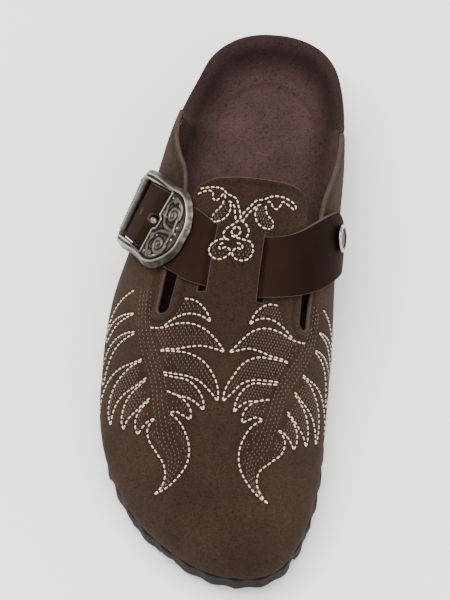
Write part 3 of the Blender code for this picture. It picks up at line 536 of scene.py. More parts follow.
def makeSilver(name, look):
    # cast zinc, silver plated and blackened, then wiped: bright on the high places, dark in the low ones
    finish, tree, coords = newMaterial(name, **{"Metallic": 1.0})
    wiped = addNode(tree, "Attribute", {"attribute_name": "wiped"}, {}, "Fac")
    cloud = addNode(tree, "TexNoise", {}, {
        "Vector": coords, "Scale": perMetre(4.0), "Detail": 4.0, "Roughness": 0.65})
    scratch = addNode(tree, "TexNoise", {}, {"Vector": coords, "Scale": perMetre(0.5), "Detail": 2.0})
    worn = addNode(tree, "Math", {"operation": "MULTIPLY_ADD"}, {0: cloud, 1: look["blotch"], 2: wiped})
    clamped = {"operation": "SUBTRACT", "use_clamp": True}
    worn = addNode(tree, "Math", clamped, {0: worn, 1: look["blotch"] / 2})
    stops = [(0.12, look["black"]), (0.50, look["base"]), (0.95, look["bright"])]
    linkShader(tree, Base_Color=addNode(tree, "ValToRGB", {"stops": stops}, {"Fac": worn}),
               Roughness=addNode(tree, "MapRange", {}, {
                   "Value": worn, "To Min": look["gloss"][0], "To Max": look["gloss"][1]}),
               Normal=addNode(tree, "Bump", {}, {"Height": scratch, "Distance": 0.03 * mm, "Strength": 0.5}))
    return finish


# outsole: moulded EVA foam with curved tread grooves
outsole = {
    "welt": [(-141.0, 0.2), (-110, 0.3), (-80, 0.8), (-40, 0.9), (60, 0.9), (100, 0.3), (142.0, 0.2)],
    # waves of the toe edge
    "scallopDepth": 0.5, "scallopPitch": 13.0, "scallopEnd": -40, "scallopFade": 40,
    "grooves": [-122, -106, -90, -74, -58, -42, -26, -10, 62, 78, 94, 110, 125],
    "grooveDepth": 3.4, "grooveHalf": 2.3, "grooveFlank": 0.5, "grooveBow": 5.0,
    "round": 1.0,                                       # radius of the moulded edges
    # the wall from the tread up, in radii: outward, up or down, from the bottom or the top
    "wall": [(0.30, 0.05, 0), (0.70, 0.30, 0), (1.0, 1.0, 0), (1.0, 3.4, 0), (1.0, -2.2, 1), (1.0, -0.9, 1),
             (0.70, -0.27, 1), (0.30, -0.05, 1), (0.0, 0.0, 1)],
    "spacing": 3.6, "topSpacing": 9.0, "wornHeight": 4.0, "colour": "#140C09", "worn": "#1E1612",
}


def featherLoop(count):                   # anticlockwise from the toe along the medial side
    y = toeY + (heelY - toeY) * (1 - np.cos(math.pi * np.linspace(0, 1, count + 1))) / 2
    medial = np.stack([column("feather", 2, y), y], -1)
    lateral = np.stack([column("feather", 1, y), y], -1)[::-1]
    return np.concatenate([medial[:-1], lateral[:-1]])


def grooveY(y, x):
    bow = -outsole["grooveBow"] if y < 0 else outsole["grooveBow"]
    return y + bow * (1 - ((x - 5) / 50)**2)


def grooveLift(points):
    lift = np.zeros(len(points))
    for y in outsole["grooves"]:
        away = np.abs(points[:, 1] - grooveY(y, points[:, 0]))
        rise = np.clip((outsole["grooveHalf"] - away) / outsole["grooveFlank"], 0, 1)
        lift = np.maximum(lift, outsole["grooveDepth"] * rise)
    return lift


def capRing(ring, spacing):               # triangles over a ring; the inner points come after the ring's own
    flat, faces = triangulate([ring], hexPoints([ring], spacing))
    tree = lineTree([ring])
    index = np.empty(len(flat), int)
    inner = []
    for i, p in enumerate(flat):
        _, near, away = tree.find((p[0], p[1], 0))
        if away > 1e-4:
            near = len(ring) + len(inner)
            inner.append(p)
        index[i] = near
    return np.array(inner).reshape(-1, 2), index[faces]


def makeEva():
    # EVA foam, moulded and dyed through: closed pores, dull, greyer where the ground rubs it
    finish, tree, coords = newMaterial("moulded EVA foam", **{"Specular IOR Level": 0.12})
    pores = addNode(tree, "TexVoronoi", {}, {"Vector": coords, "Scale": perMetre(0.8)}, "Distance")
    cloud = addNode(tree, "TexNoise", {}, {"Vector": coords, "Scale": perMetre(9.0), "Detail": 4.0})
    ground = addNode(tree, "Attribute", {"attribute_name": "ground"}, {}, "Fac")
    share = addNode(tree, "Math", {"operation": "MULTIPLY"}, {0: ground, 1: cloud})
    colours = {0: share, 6: outsole["colour"], 7: outsole["worn"]}
    colour = addNode(tree, "Mix", {"data_type": "RGBA"}, colours, 2)
    tint = addNode(tree, "ValToRGB", {"stops": [(0.3, 0.8), (0.7, 1.0)]}, {"Fac": cloud})
    linkShader(tree, Base_Color=addNode(tree, "Mix", multiply, {0: 1.0, 6: colour, 7: tint}, 2),
               Roughness=addNode(tree, "MapRange", {}, {"Value": cloud, "To Min": 0.62, "To Max": 0.82}),
               Normal=addNode(tree, "Bump", {}, {"Height": pores, "Distance": 0.10 * mm, "Strength": 0.6}))
    return finish


def makeOutsole():
    loop = evenLoop(featherLoop(90), 1.6)
    welt = spline([row[0] for row in outsole["welt"]], [row[1] for row in outsole["welt"]], loop[:, 1])
    wave = np.cos(2 * math.pi * lengthsAlong(loop) / outsole["scallopPitch"])
    wave *= smooth((outsole["scallopEnd"] - loop[:, 1]) / outsole["scallopFade"])
    soft = outsole["round"]
    inner = offsetLoop(loop, welt + outsole["scallopDepth"] * wave - soft)
    edges = [-outsole["grooveHalf"], outsole["grooveFlank"] - outsole["grooveHalf"]]
    lines = []
    for y in outsole["grooves"]:
        for shift in edges + [-e for e in edges]:
            x = np.linspace(-70, 70, 57)
            lines.append(np.stack([x, grooveY(y, x) + shift], -1))
    flat, faces = triangulate([inner], hexPoints([inner], outsole["spacing"]), lines)
    ring = borderRings(faces)[0]
    out = outwardOf(flat[ring])
    low = soleBottom(flat[:, 1]) + grooveLift(flat)
    high = soleTop(flat[ring][:, 1])
    points, solid, count = [np.column_stack([flat, low])], faces[:, ::-1].tolist(), len(flat)
    above = ring
    for outward, rise, top in outsole["wall"]:
        base = high if top else low[ring]
        place = flat[ring] + out * outward * soft
        row = count + np.arange(len(ring))
        count += len(ring)
        points.append(np.column_stack([place, base + rise * soft]))
        solid += bridge(row, above).tolist()
        above = row
    inner, cover = capRing(flat[ring], outsole["topSpacing"])
    points.append(np.column_stack([inner, soleTop(inner[:, 1])]))
    solid += np.concatenate([above, count + np.arange(len(inner))])[cover].tolist()
    points = np.concatenate(points)
    ground = smooth(1 - (points[:, 2] - soleBottom(points[:, 1])) / outsole["wornHeight"])
    piece = addPiece("outsole_moulded", points, solid, [makeEva()], ["outsole"],
                     marks={"ground": ground})
    piece.data.set_sharp_from_angle(angle=math.radians(50))


# footbed: cork and latex, dyed dark, under a suede liner
footbed = {
    "inset": 2.6, "inner": 1.4, "edge": 1.3, "snug": 1.2, "liner": 1.6,
    "quarterEnd": (92.1, 89.9), "quarterFade": 1.4,
    "tipSnug": (87.5, 3.5, 0.45),               # y, width and amount closer to the outer quarter's rear tip
    "heelLine": (12.5, 92.0, 25.0, 29.0),       # pressed heel seat: middle x and y, half width, half length
    "heelLineFade": (-12, 26),                  # start from the seat's middle, length
    "bowl": (20, 28, 2.3),                      # from rim to middle at the toe and at the heel, steepness
    "heelLineDepth": 0.35, "heelLineWidth": 1.1, "bulge": 0.9, "spacing": 2.6, "topSpacing": 6.0,
    "cork": "#1C120D", "grain": "#33241B",
    "suede": {"base": "#3A2A28", "dark": "#332423", "light": "#42302E", "nap": "#6E5854", "sheen": 0.12,
              "patchSize": 26.0, "fibreSize": 0.9, "speckSize": 1.6, "napDepth": 0.30, "fibreDark": 0.52,
              "fibreLight": 1.36, "speckDark": 0.60, "marks": {"shade": "#8A8482", "pressed": "#E8DCD8"}},
}


def insideQuarters(y, medial):            # 1 where the quarters stand round the footbed, 0 behind them
    end = np.where(medial, footbed["quarterEnd"][1], footbed["quarterEnd"][0])
    return 1 - smooth((y - end) / footbed["quarterFade"])


def rimHeight(y, medial):
    return soleTop(y) + column("footbed", 2 if medial else 1, y)


def levelSide(y, height, inset, medial):  # inside the wall of the last, at a height
    t = np.linspace(0.0, 1.0, 161) * (1 if medial else -1)
    points = np.empty((len(y), 3))
    for i, (yi, zi) in enumerate(zip(y, height)):
        tz = np.interp(-zi, -lastPoint(t, yi)[:, 2], t)
        wall = (inset - footbed["snug"] * smooth((yi - 30) / 30)) * insideQuarters(yi, medial) + 0.1
        wall += 1 - smooth((yi - toeY) / 20)
        place, width, amount = footbed["tipSnug"]
        wall -= 0 if medial else amount * bump(yi - place, width)
        points[i] = lastPoint(tz, yi) - wall * lastNormal(tz, yi)
    return points


def levelLoop(extra, inset, count):
    ridgeY = np.linspace(toeY + 0.2, toeY + 25, 400)
    clear = column("section", 2, ridgeY) - rimHeight(ridgeY, True) - extra
    start = ridgeY[np.argmax(clear > 2.2)]
    y = start + (heelY - start) * (1 - np.cos(math.pi * np.linspace(0, 1, count + 1))) / 2
    y[-1] = heelY - 0.05
    sides = []
    for medial in (True, False):
        end = footbed["quarterEnd"][medial]
        row = np.argmin(np.abs(y - end))
        sideY = y.copy()
        sideY[row:row + 2] = end, end + footbed["quarterFade"]
        sides.append(levelSide(sideY, rimHeight(sideY, medial) + extra, inset, medial))
    return np.concatenate([sides[0][:-1], sides[1][:0:-1]])


def footbedTop(points, loop, extra):      # a cup round the rim and a low middle
    y = points[:, 1]
    middle = soleTop(y) + column("footbed", 3, y) + extra
    side = smooth((points[:, 0] - column("section", 1, y) + 25) / 50)
    rim = rimHeight(y, False) * (1 - side) + rimHeight(y, True) * side + extra
    away = edgeDistance(points, loop[:, :2])
    front, back, steep = footbed["bowl"]
    reach = front + (back - front) * smooth((y - 40) / 60)
    return middle + (rim - middle) * np.clip(1 - away / reach, 0, 1)**steep, away


def makeInsole():
    liner, spacing, edge = footbed["liner"], footbed["spacing"], footbed["edge"]
    rim = levelLoop(gap + liner, footbed["inset"] + footbed["inner"], 110)
    rim = evenLoop(rim[np.linalg.norm(rim - np.roll(rim, 1, axis=0), axis=1) > 1.0], spacing)
    flat, drop, solid, _ = sheetMesh([rim[:, :2]], spacing, 1, edge,
                                     roundedProfile(edge, liner, 0.7), liner)
    high, away = footbedTop(flat, rim, gap + liner)
    x, y, halfX, halfY = footbed["heelLine"]
    ring = np.hypot((flat[:, 0] - x) / halfX, (flat[:, 1] - y) / halfY)
    start, length = footbed["heelLineFade"]
    pressed = bump((ring - 1) * halfX, footbed["heelLineWidth"]) * smooth((flat[:, 1] - y - start) / length)
    top = drop < 0.01
    high -= np.where(top, footbed["heelLineDepth"] * pressed, 0) + drop
    # painted shade: a darker band just inside the rim, stronger towards the heel and fainter on the rim's
    # crest
    shade = (1 - smooth((away - 3) / 16)) * (0.55 + 0.45 * smooth((flat[:, 1] - 60) / 50))
    shade *= 0.25 + 0.75 * smooth((away - 1) / 6)
    finish = makeSuede("dyed suede liner", footbed["suede"])
    addPiece("insole_suede_liner", np.column_stack([flat, high]), solid, [finish], ["insole"],
             marks={"shade": shade, "pressed": pressed})


def makeCork():
    # cork granules bound in latex and brushed with dark edge dye: the grains show through
    finish, tree, coords = newMaterial("dyed cork", **{"Specular IOR Level": 0.12})
    place = {"Vector": coords, "Scale": perMetre(2.0)}
    grains = addNode(tree, "TexVoronoi", {}, place, "Color")
    joints = addNode(tree, "TexVoronoi", {"feature": "DISTANCE_TO_EDGE"}, place)
    stops = [(0.0, footbed["cork"]), (0.75, footbed["cork"]), (1.0, footbed["grain"])]
    linkShader(tree, Base_Color=addNode(tree, "ValToRGB", {"stops": stops}, {"Fac": grains}),
               Roughness=addNode(tree, "MapRange", {}, {"Value": grains, "To Min": 0.55, "To Max": 0.8}),
               Normal=addNode(tree, "Bump", {}, {"Height": joints, "Distance": 0.12 * mm, "Strength": 0.6}))
    return finish


def makeFootbed():
    rim = levelLoop(gap + footbed["liner"], footbed["inset"] + footbed["inner"], 110)
    high, _ = footbedTop(rim[:, :2], rim, 0.0)
    y = np.clip(rim[:, 1], toeY + 3.0, heelY - 0.05)
    y[0] = toeY + 2.9
    medial = np.arange(len(rim)) < len(rim) // 2
    foot = np.column_stack([np.where(medial, column("feather", 2, y), column("feather", 1, y)), y])
    foot[0, 0] = column("feather", 1, toeY)
    foot = offsetLoop(foot, -(footbed["inset"] * insideQuarters(y, medial) + 0.15))
    shown = smooth((foot[:, 1] - footbed["quarterEnd"][0] - 4) / 12)
    rows = []
    for k in (0.0, 0.06, 0.2, 0.35, 0.5, 0.65, 0.8, 0.94, 1.0):
        bulge = footbed["bulge"] * shown * math.sin(math.pi * k) - 0.5 * (k in (0.0, 1.0))
        plan = offsetLoop(foot * (1 - k) + rim[:, :2] * k, bulge)
        low = soleTop(foot[:, 1]) + gap
        rows.append(np.column_stack([plan, low + (high - low) * k]))
    size = len(rim)
    solid = tubeFaces(len(rows), size)
    points = np.concatenate(rows)
    for ring, top in ((rows[-1], True), (rows[0], False)):
        inner, cover = capRing(ring[:, :2], footbed["topSpacing"])
        if top:
            z = footbedTop(inner, rim, 0.0)[0]
        else:
            z = soleTop(inner[:, 1]) + gap
            cover = cover[:, ::-1]
        own = (len(rows) - 1) * size * top + np.arange(size)
        solid += np.concatenate([own, len(points) + np.arange(len(inner))])[cover].tolist()
        points = np.concatenate([points, np.column_stack([inner, z])])
    addPiece("footbed_cork", points, solid, [makeCork()], ["footbed"])


makeOutsole()
makeFootbed()
makeInsole()
print("sole, footbed and liner made")


# upper: one wall of suede with its lining, cut from a flat pattern
upper = {
    "wall": 2.2, "nose": 20.0, "patternWidth": (66.0, 28.0, 0.12),      # a at t = 1: reach, how soon, slope
    "panelEnds": (31, -32, 14),                         # y of the raised panel's ends, length of the rise
    "strapZone": (9, 13, 5),                            # where the strap lies: middle y, half width, fade
    "panelRaise": 2.6, "spacing": 2.2, "edge": 0.8,
    "slotLateral": (-0.207, -0.161), "slotMedial": (0.147, 0.101),       # t of outer edge and of panel
    "slotLateralEnds": (18.5, -15.0), "slotMedialEnds": (12.8, -18.6),    # y of both ends
    "slitLateral": (-0.370, -21.0), "slitMedial": (0.440, -23.0),         # t and y of the round end
    "slitHalf": 0.032,                                                    # in t
    "pull": 0.34, "puff": 0.45, "press": 0.28,          # how far thread pulls down, leaves swell, seams sink
    "folds": (0.5, 0.35),                               # height of the creases in the outer and inner quarter
    "suede": {"base": "#2E2118", "dark": "#291D15", "light": "#33251B", "nap": "#5A4A3C", "sheen": 0.12,
              "patchSize": 20.0, "fibreSize": 0.9, "speckSize": 1.5, "napDepth": 0.40, "fibreDark": 0.46,
              "fibreLight": 1.50, "speckDark": 0.68,
              # the vamp mark is painted shade along the top of the vamp
              "marks": {"leaf": "#F6ECE4", "pressed": "#D2C8C0", "deep": "#CFC7C1"}},
    "lining": {"base": "#20170F", "dark": "#1B130D", "light": "#261C14", "nap": "#4A3D32", "sheen": 0.08,
               "patchSize": 30.0, "fibreSize": 0.8, "speckSize": 1.6, "napDepth": 0.2, "fibreDark": 0.75,
               "fibreLight": 1.08, "speckDark": 0.75, "marks": {}},
    "cutEdge": "#4A3C33", "cutEdgeDark": "#30261F",
}


def patternR(y):                          # r runs back from the toe, a across
    d = np.asarray(y, float) - toeY
    return np.sqrt(d * d + 2 * upper["nose"] * d)


def patternY(r):
    return toeY + np.sqrt(np.asarray(r, float)**2 + upper["nose"]**2) - upper["nose"]


def patternHalf(r):
    (reach, soon, slope), r = upper["patternWidth"], np.asarray(r, float)
    return reach * (1 - np.exp(-r / soon)) + slope * r


def toPattern(t, y):
    r = patternR(y)
    return np.stack([np.asarray(t, float) * patternHalf(r), r], -1)


def fromPattern(points):
    r = np.maximum(points[..., 1], 0.5)
    return np.clip(points[..., 0] / patternHalf(r), -1, 1), patternY(r)


def panelRise(t, y):                      # the flap's middle panel stands up between its two slots
    (a, b), (d, c) = upper["slotLateral"], upper["slotMedial"]
    across = smooth((t - a) / (b - a)) * smooth((d - t) / (d - c))
    high, low, length = upper["panelEnds"]
    return upper["panelRaise"] * across * smooth((y - low) / length) * smooth((high - y) / length)


def patternRun(rows, size=2.0):
    rows = np.array(rows, float)
    return curveThrough(toPattern(rows[:, 0], rows[:, 1]), size)


def slitArc(slit, more, count):           # the round end of a slit, or a wider one round it
    t, y = upper[slit]
    return arcPoints(toPattern(t, y), upper["slitHalf"] * patternHalf(patternR(y)) + more, 0, -180, count)


upperEdges = {                            # t and y round the opening, from the inner side to the outer side
    "medialRear": [(1, 86.0), (0.92, 88.6), (0.80, 89.4), (0.75, 86.5)],
    "medialCollar": [(0.75, 86.5), (0.73, 78), (0.70, 70), (0.64, 58), (0.585, 48), (0.545, 40), (0.52, 28),
                     (0.50, 10), (0.48, -8), (0.472, -22)],
    "medialFlap": [(0.408, -22), (0.405, -8), (0.40, 8), (0.397, 24), (0.385, 31)],
    "flapTop": [(0.385, 31), (0.35, 35.2), (0.29, 37), (0.15, 37.8), (0, 38.2), (-0.15, 38.6), (-0.25, 38.2),
                (-0.31, 36), (-0.33, 31)],
    "lateralFlap": [(-0.33, 31), (-0.322, 18), (-0.316, 4), (-0.322, -8), (-0.338, -20)],
    "lateralCollar": [(-0.402, -20), (-0.392, -8), (-0.388, 6), (-0.392, 22), (-0.402, 38), (-0.435, 47),
                      (-0.51, 57), (-0.585, 67), (-0.645, 78), (-0.69, 88.5)],
    "lateralRear": [(-0.69, 88.5), (-0.74, 91.6), (-0.86, 91.2), (-1, 86.0)],
}


def upperLoop():
    sideY = np.concatenate([[86.0], np.linspace(78, -85, 66), patternY(np.linspace(60, 1.5, 40))])
    lateral = toPattern(-np.ones(len(sideY)), sideY)
    medial = toPattern(np.ones(len(sideY)), sideY)[::-1]
    runs = [patternRun(rows) for rows in upperEdges.values()]
    return closedLoop(medial, *runs[:2], slitArc("slitMedial", 0, 15), *runs[2:5],
                      slitArc("slitLateral", 0, 15), *runs[5:], lateral)


def slotLoop(edges, ends):
    low, high = min(edges), max(edges)
    corners = [(low, ends[1]), (high, ends[1]), (high, ends[0]), (low, ends[0])]
    rows = []
    for (t, y), (t2, y2) in zip(corners, corners[1:] + corners[:1]):
        steps = max(2, int(abs(y2 - y) / 1.5))
        share = np.arange(steps) / steps
        rows.append(toPattern(t + (t2 - t) * share, y + (y2 - y) * share))
    return np.concatenate(rows)


# western leaf stitching: a across the flat pattern, y along the last
stitching = {
    # y and a of the line between the two fronds
    "mirror": [(-107, -5.5), (-85, -4.8), (-65, -3.9), (-45, -3.3), (-28, -2.0)],
    "pitch": 2.75, "length": 2.2, "radius": 0.41, "cream": "#E6D3BC", "creamShade": "#B9A086",
    "toneRadius": 0.26, "tone": "#54433A", "toneShade": "#3C2E27",
    "leaves": [                           # each lateral leaf's crest, and its back from the crest's end
        [[(-22, -18), (-17, -19.3), (-13, -23), (-10.3, -29)],
         [(-14.5, -26), (-19.5, -25), (-24, -26.5), (-28.5, -30)]],
        [[(-35, -29.5), (-28.5, -30.5), (-23, -29.3), (-18, -29.5), (-13, -31.6), (-8.2, -36), (-4, -42.2)],
         [(-8, -40.8), (-12, -39.8), (-17.3, -40.2), (-22, -41), (-27, -40.8), (-28.6, -41.4)]],
        [[(-28.6, -41.4), (-22.7, -42), (-17, -43.2), (-11.5, -46.5), (-7.7, -51.6), (-5.3, -57.6),
          (-4.8, -64.5)],
         [(-8.3, -59.5), (-12, -55.6), (-16.5, -53.5), (-21.5, -52.3), (-26, -51.3)]],
        [[(-25.6, -52.5), (-21.6, -53.8), (-16.3, -55.3), (-12.6, -58.8), (-10, -64), (-9.6, -69)],
         [(-11.8, -66.2), (-15, -63.7), (-19.3, -62.3), (-23.5, -60)]],
        [[(-23.6, -60.2), (-19.5, -62.2), (-16.4, -64.8), (-14.2, -68.7), (-14, -73.5)],
         [(-17, -71.3), (-19.4, -69.8), (-21.5, -70.5)]],
        [[(-21.5, -70.5), (-18.2, -74), (-15.3, -80.3), (-14, -87), (-15, -94), (-18.5, -100),
          (-23.2, -104.5), (-29, -107)],
         [(-25, -103.7), (-23.2, -99), (-23.5, -94), (-26.1, -88.5), (-29.3, -82), (-29.8, -77),
          (-27, -72.7)]],
        [[(-48, -8.8), (-52, -9.4), (-57, -10.6), (-62, -13), (-66, -17), (-68.5, -22)], []],
        [[(-45, -20.6), (-51, -19.4), (-57, -19), (-63, -20.2), (-68, -23)],
         [(-66, -27), (-61, -25), (-55.5, -22.3), (-50, -21.4), (-45, -20.9)]],
        [[(-42.4, -30), (-48, -29.2), (-54, -29.6), (-59.5, -31.4), (-64, -35), (-67.5, -41)],
         [(-62, -49), (-60, -42.5), (-57, -37.5), (-53, -34), (-47.5, -31.8), (-42.4, -30.8)]],
        [[(-36, -44), (-41, -45), (-47, -45.7), (-53, -47.8), (-58, -51.4), (-62, -56.5), (-64.5, -63)], []],
        [[(-36, -45), (-40, -46), (-44.5, -48.8), (-49, -53), (-51.7, -58), (-52.6, -63), (-52, -68),
          (-50, -72)],
         [(-48.5, -66), (-46, -62), (-43.5, -59.8), (-40, -57.8), (-36.5, -56), (-32.4, -53)]],
        [[(-32.6, -54.4), (-36.5, -57.6), (-40.3, -61.8), (-42.2, -66.5), (-42.8, -71), (-41.4, -76)],
         [(-39.5, -72), (-37.3, -69.8), (-35, -68), (-33, -66), (-29.7, -62.8)]],
        [[(-29.9, -64.2), (-33.2, -67.6), (-35, -71), (-35.4, -75.3), (-33.9, -79.5)],
         [(-32, -76.2), (-29.6, -73.7), (-27, -72.7)]],
    ],
    "spine": [(-40.5, -10), (-39.6, -18), (-38.2, -26.5), (-35, -37), (-31, -46), (-28.3, -52.3),
              (-26.5, -58.6), (-25.3, -66.4), (-23.6, -74.6), (-22, -82.7), (-19.6, -90), (-19.9, -95.5),
              (-22.3, -100.8), (-25.6, -104.4)],
    "flap": [                             # two crossed ribbons with arches, lobes and curls
        [(-27, 34.2), (-23, 34.4), (-19, 34), (-15, 32.4), (-12.8, 30.2), (-11.5, 29.6), (-8.6, 28),
         (-6.8, 24), (-5.4, 20.3), (-4.7, 17.4), (-3.2, 16.3), (-1.2, 13.8), (-0.9, 11.6), (-1.7, 9.6)],
        [(-12.2, 26.6), (-10.2, 26), (-8.6, 24), (-7.8, 21), (-6.8, 17.2)],
        [(26.4, 26.4), (25.9, 28.2), (23.1, 29.6), (19.4, 30.5), (14.2, 30.8), (10, 30.2), (6.8, 28.9),
         (4, 28.1), (0.7, 27.5), (-2.1, 24), (-4.5, 20.4), (-5.6, 17.6), (-7.2, 15.7), (-10, 13.3),
         (-10.7, 10.7), (-9, 8.6)],
        [(4.4, 25.8), (2.1, 25.2), (-1.2, 22.3), (-3.5, 18.2), (-4.2, 16.4)],
        [(-27.6, 31.6), (-25, 32.6), (-21.2, 32.5), (-20, 31.4), (-19.4, 29), (-17.2, 27.2), (-15.5, 28.9),
         (-14.6, 30.3), (-13.2, 27.6)],
        [(25.4, 25.8), (21.3, 27.6), (17.2, 28.3), (16.5, 26.6), (14.2, 24.6), (11.6, 25.4), (10.1, 27.6),
         (7.6, 26.8)],
        [(-13.8, 27.3), (-14.5, 23.6), (-16.3, 21.7), (-17.5, 20), (-17.3, 17.8), (-15.2, 16.8),
         (-12.5, 17.4), (-10.7, 19.5), (-10, 22.4), (-10.8, 25.6)],
        [(7, 25.8), (8, 22), (9, 20.6), (11.6, 19.4), (13.2, 17.5), (12.2, 15.4), (9, 14.7), (5.3, 15.6),
         (2.4, 17.8), (0.9, 21), (2, 24.4)],
        [(-5.9, 14.7), (-4.1, 12.2), (-5.6, 10.2), (-7.6, 12), (-6, 14.6)],
        [(-7.7, 10.4), (-4.9, 9.4), (-2.1, 8.7), (0.5, 8), (2.7, 5.6), (2.8, 2.5), (0.5, 0), (-2.2, -0.8),
         (-4.8, 0.4), (-5.8, 2.8), (-4.4, 4.8), (-2.4, 4.3), (-2.4, 6), (-5, 7)],
        [(-7.7, 8.2), (-11.3, 8.5), (-14.2, 6.6), (-15.2, 4.3), (-13.9, 1.2), (-10.8, -0.7), (-7.9, 0.6),
         (-6.5, 3), (-8.6, 5), (-10.7, 4), (-11.4, 5.6), (-9.6, 6.9)],
    ],
}


def mirrored(points):                     # the medial frond: its outer leaves a little wider and lower
    a, y = np.array(points, float).T
    line = np.interp(y, *zip(*stitching["mirror"]))
    line = line + 3.5 * smooth((np.abs(a) - 12) / 24) * smooth((y + 98) / 15)
    return np.column_stack([2 * line - a, y - 1.5 * smooth((np.abs(a) - 15) / 15)])


def asPattern(points):                    # a and y to the flat pattern's a and r
    points = np.array(points, float)
    return np.column_stack([points[:, 0], patternR(points[:, 1])])


def sampled(points, step=0.25):
    return curveThrough(asPattern(points), step)


creamLines, leafLoops = [], []
for crest, back in stitching["leaves"]:
    for side in (np.array, mirrored):
        runs = [sampled(side(run)) for run in ([crest, crest[-1:] + back] if back else [crest])]
        creamLines += runs
        if len(runs) == 2:
            leafLoops.append(np.concatenate(runs)[::4])
flapLines = [sampled(run) for run in stitching["flap"]]
creamLines += flapLines
leafLoops += [line[::4] for line in (flapLines[6], flapLines[7], flapLines[9], flapLines[10])]


def slitBorder(slit):                     # the pressed U round a slit, as a line on the pattern
    arc = slitArc(slit, 4.2, 60)
    up = np.linspace(0, 18, 70)[:, None] * np.array([0.0, 1.0])
    return np.concatenate([(arc[0] + up)[::-1], arc, arc[-1] + up])


def shifted(run, distance):               # a run moved to its left
    step = unit(np.gradient(run, axis=0))
    return run + np.reshape(distance, (-1, 1)) * np.stack([-step[:, 1], step[:, 0]], -1)


seams = ("flapTop", "medialCollar", "lateralCollar")
toneLines = [slitBorder("slitMedial"), slitBorder("slitLateral")]
toneLines += [shifted(patternRun(upperEdges[key], 0.5), 2.6) for key in seams]
creamTree, toneTree = lineTree(creamLines), lineTree(toneLines)


def upperLift(flat):                      # relief of the outer face, and the marks its colour follows
    t, y = fromPattern(flat)
    nearCream = awayFrom(creamTree, flat)
    nearTone = awayFrom(toneTree, flat)
    within = np.zeros(len(flat), bool)
    for loop in leafLoops:
        within |= insideLoop(flat, loop)
    middle, half, fade = upper["strapZone"]
    clear = smooth((np.abs(y - middle) - half) / fade)          # flat where the strap lies
    clear = np.maximum(clear, (np.abs(t + 0.03) < 0.12) | (y > 16) & (np.abs(t) < 0.38))
    lift = -upper["pull"] * bump(nearCream, 0.9) - upper["press"] * bump(nearTone, 0.8) * clear
    lift += upper["puff"] * within * (1 - bump(nearCream, 1.8)) * clear
    outer, inner = upper["folds"]
    folds = outer * np.sin(flat[:, 0] / 3.1 + 2.0 * np.sin(y / 9.0)) * smooth((y - 20) / 8) * (t < -0.12)
    folds += inner * np.sin(flat[:, 0] / 4.3 - y / 7.0) * smooth((y - 22) / 8) * (t > 0.1)
    folds *= smooth((38 - y) / 3) * (np.abs(t) < 0.41)
    lift += folds + panelRise(t, y)
    leaf = np.maximum(within * 1.0, bump(nearCream, 1.5))
    # painted shade: darker along the middle of the vamp's top, most towards the instep, fading out to the
    # sides
    deep = (0.45 + 0.55 * smooth((y + 70) / 70)) * (1 - smooth((np.abs(flat[:, 0] + 2) - 10) / 28))
    return lift, {"leaf": leaf, "pressed": np.maximum(bump(nearTone, 0.9), 0.6 * bump(nearCream, 0.9)),
                  "deep": deep * (y < 60)}


def makeUpper():
    loops = [upperLoop(), slotLoop(upper["slotLateral"], upper["slotLateralEnds"]),
             slotLoop(upper["slotMedial"], upper["slotMedialEnds"])]
    edge, wall, spacing = upper["edge"], upper["wall"], upper["spacing"]
    flat, drop, solid, kinds = sheetMesh(loops, spacing, 1, edge,
                                         roundedProfile(edge, wall, 0.55), wall)
    lift, marks = upperLift(flat)
    t, y = fromPattern(flat)
    lift = np.where(drop > wall - 0.05, panelRise(t, y), lift)          # the inside is plain
    finishes = [makeSuede("buffed suede", upper["suede"]),
                makeCutEdge("raw suede edge", upper["cutEdge"], upper["cutEdgeDark"]),
                makeSuede("suede lining", upper["lining"])]
    addPiece("upper_suede", lifted(t, y, lift - drop), solid, finishes, ["upper"], kinds, marks)


makeUpper()
print("upper made")


# stitches: every one a short length of thread on the upper's outer face
sewing = {
    "embroidery": [-0.30, 0.16, 0.24, 0.16, -0.30],     # height of one stitch along its length
    "seam": [-0.22, 0.06, 0.10, 0.06, -0.22], "stroke": [-0.14, 0.10, -0.14],
    "taper": [0.55, 0.95, 1.0, 0.95, 0.55], "strokeTaper": [0.6, 1.0, 0.6], "flatten": 0.8,
    "seamPitch": 2.6, "seamLength": 1.7, "seamRadius": 0.24, "seamColour": "#2A2019", "seamShade": "#1C1510",
    "fromEdge": 1.3, "fillFromEdge": 1.8, "fillFromCream": 0.95, "slotRow": 2.2,      # clear distances
    "fillThin": (1, 9),                                 # distance from the spine where strokes start, fade
    "spineRows": (-2.7, -0.9, 0.9, 2.7), "spinePitch": 2.1, "strokeLength": 1.0, "fillSpacing": 1.55,
}
outline = upperLoop()                     # no stitch lies outside this


def sewLine(line, pitch, length, rise):   # stitches of even length along a line, dipping in at both ends
    t, y = fromPattern(line)
    bed = lifted(t, y, upperLift(line)[0])
    run = lengthsAlong(bed)
    count = max(1, int(round(run[-1] / pitch)))
    step = run[-1] / count
    starts = (np.arange(count) + 0.5) * step - length / 2
    where = starts[:, None] + np.linspace(0, length, len(rise))[None]
    flat = np.stack([np.interp(where, run, line[:, i]) for i in (0, 1)], -1)
    middle = flat[:, len(rise) // 2]
    where = where[insideLoop(middle, outline) & (edgeDistance(middle, outline) > sewing["fromEdge"])]
    flat = np.stack([np.interp(where, run, line[:, i]) for i in (0, 1)], -1)
    t, y = fromPattern(flat)
    base = np.stack([np.interp(where, run, bed[:, i]) for i in (0, 1, 2)], -1)
    up = lastNormal(t, y)
    return list(base + up * np.asarray(rise)[None, :, None]), list(up)


def sewAll(lines, pitch, length, rise):
    paths, ups = [], []
    for line in lines:
        more, moreUps = sewLine(line, pitch, length, rise)
        paths += more
        ups += moreUps
    return paths, ups


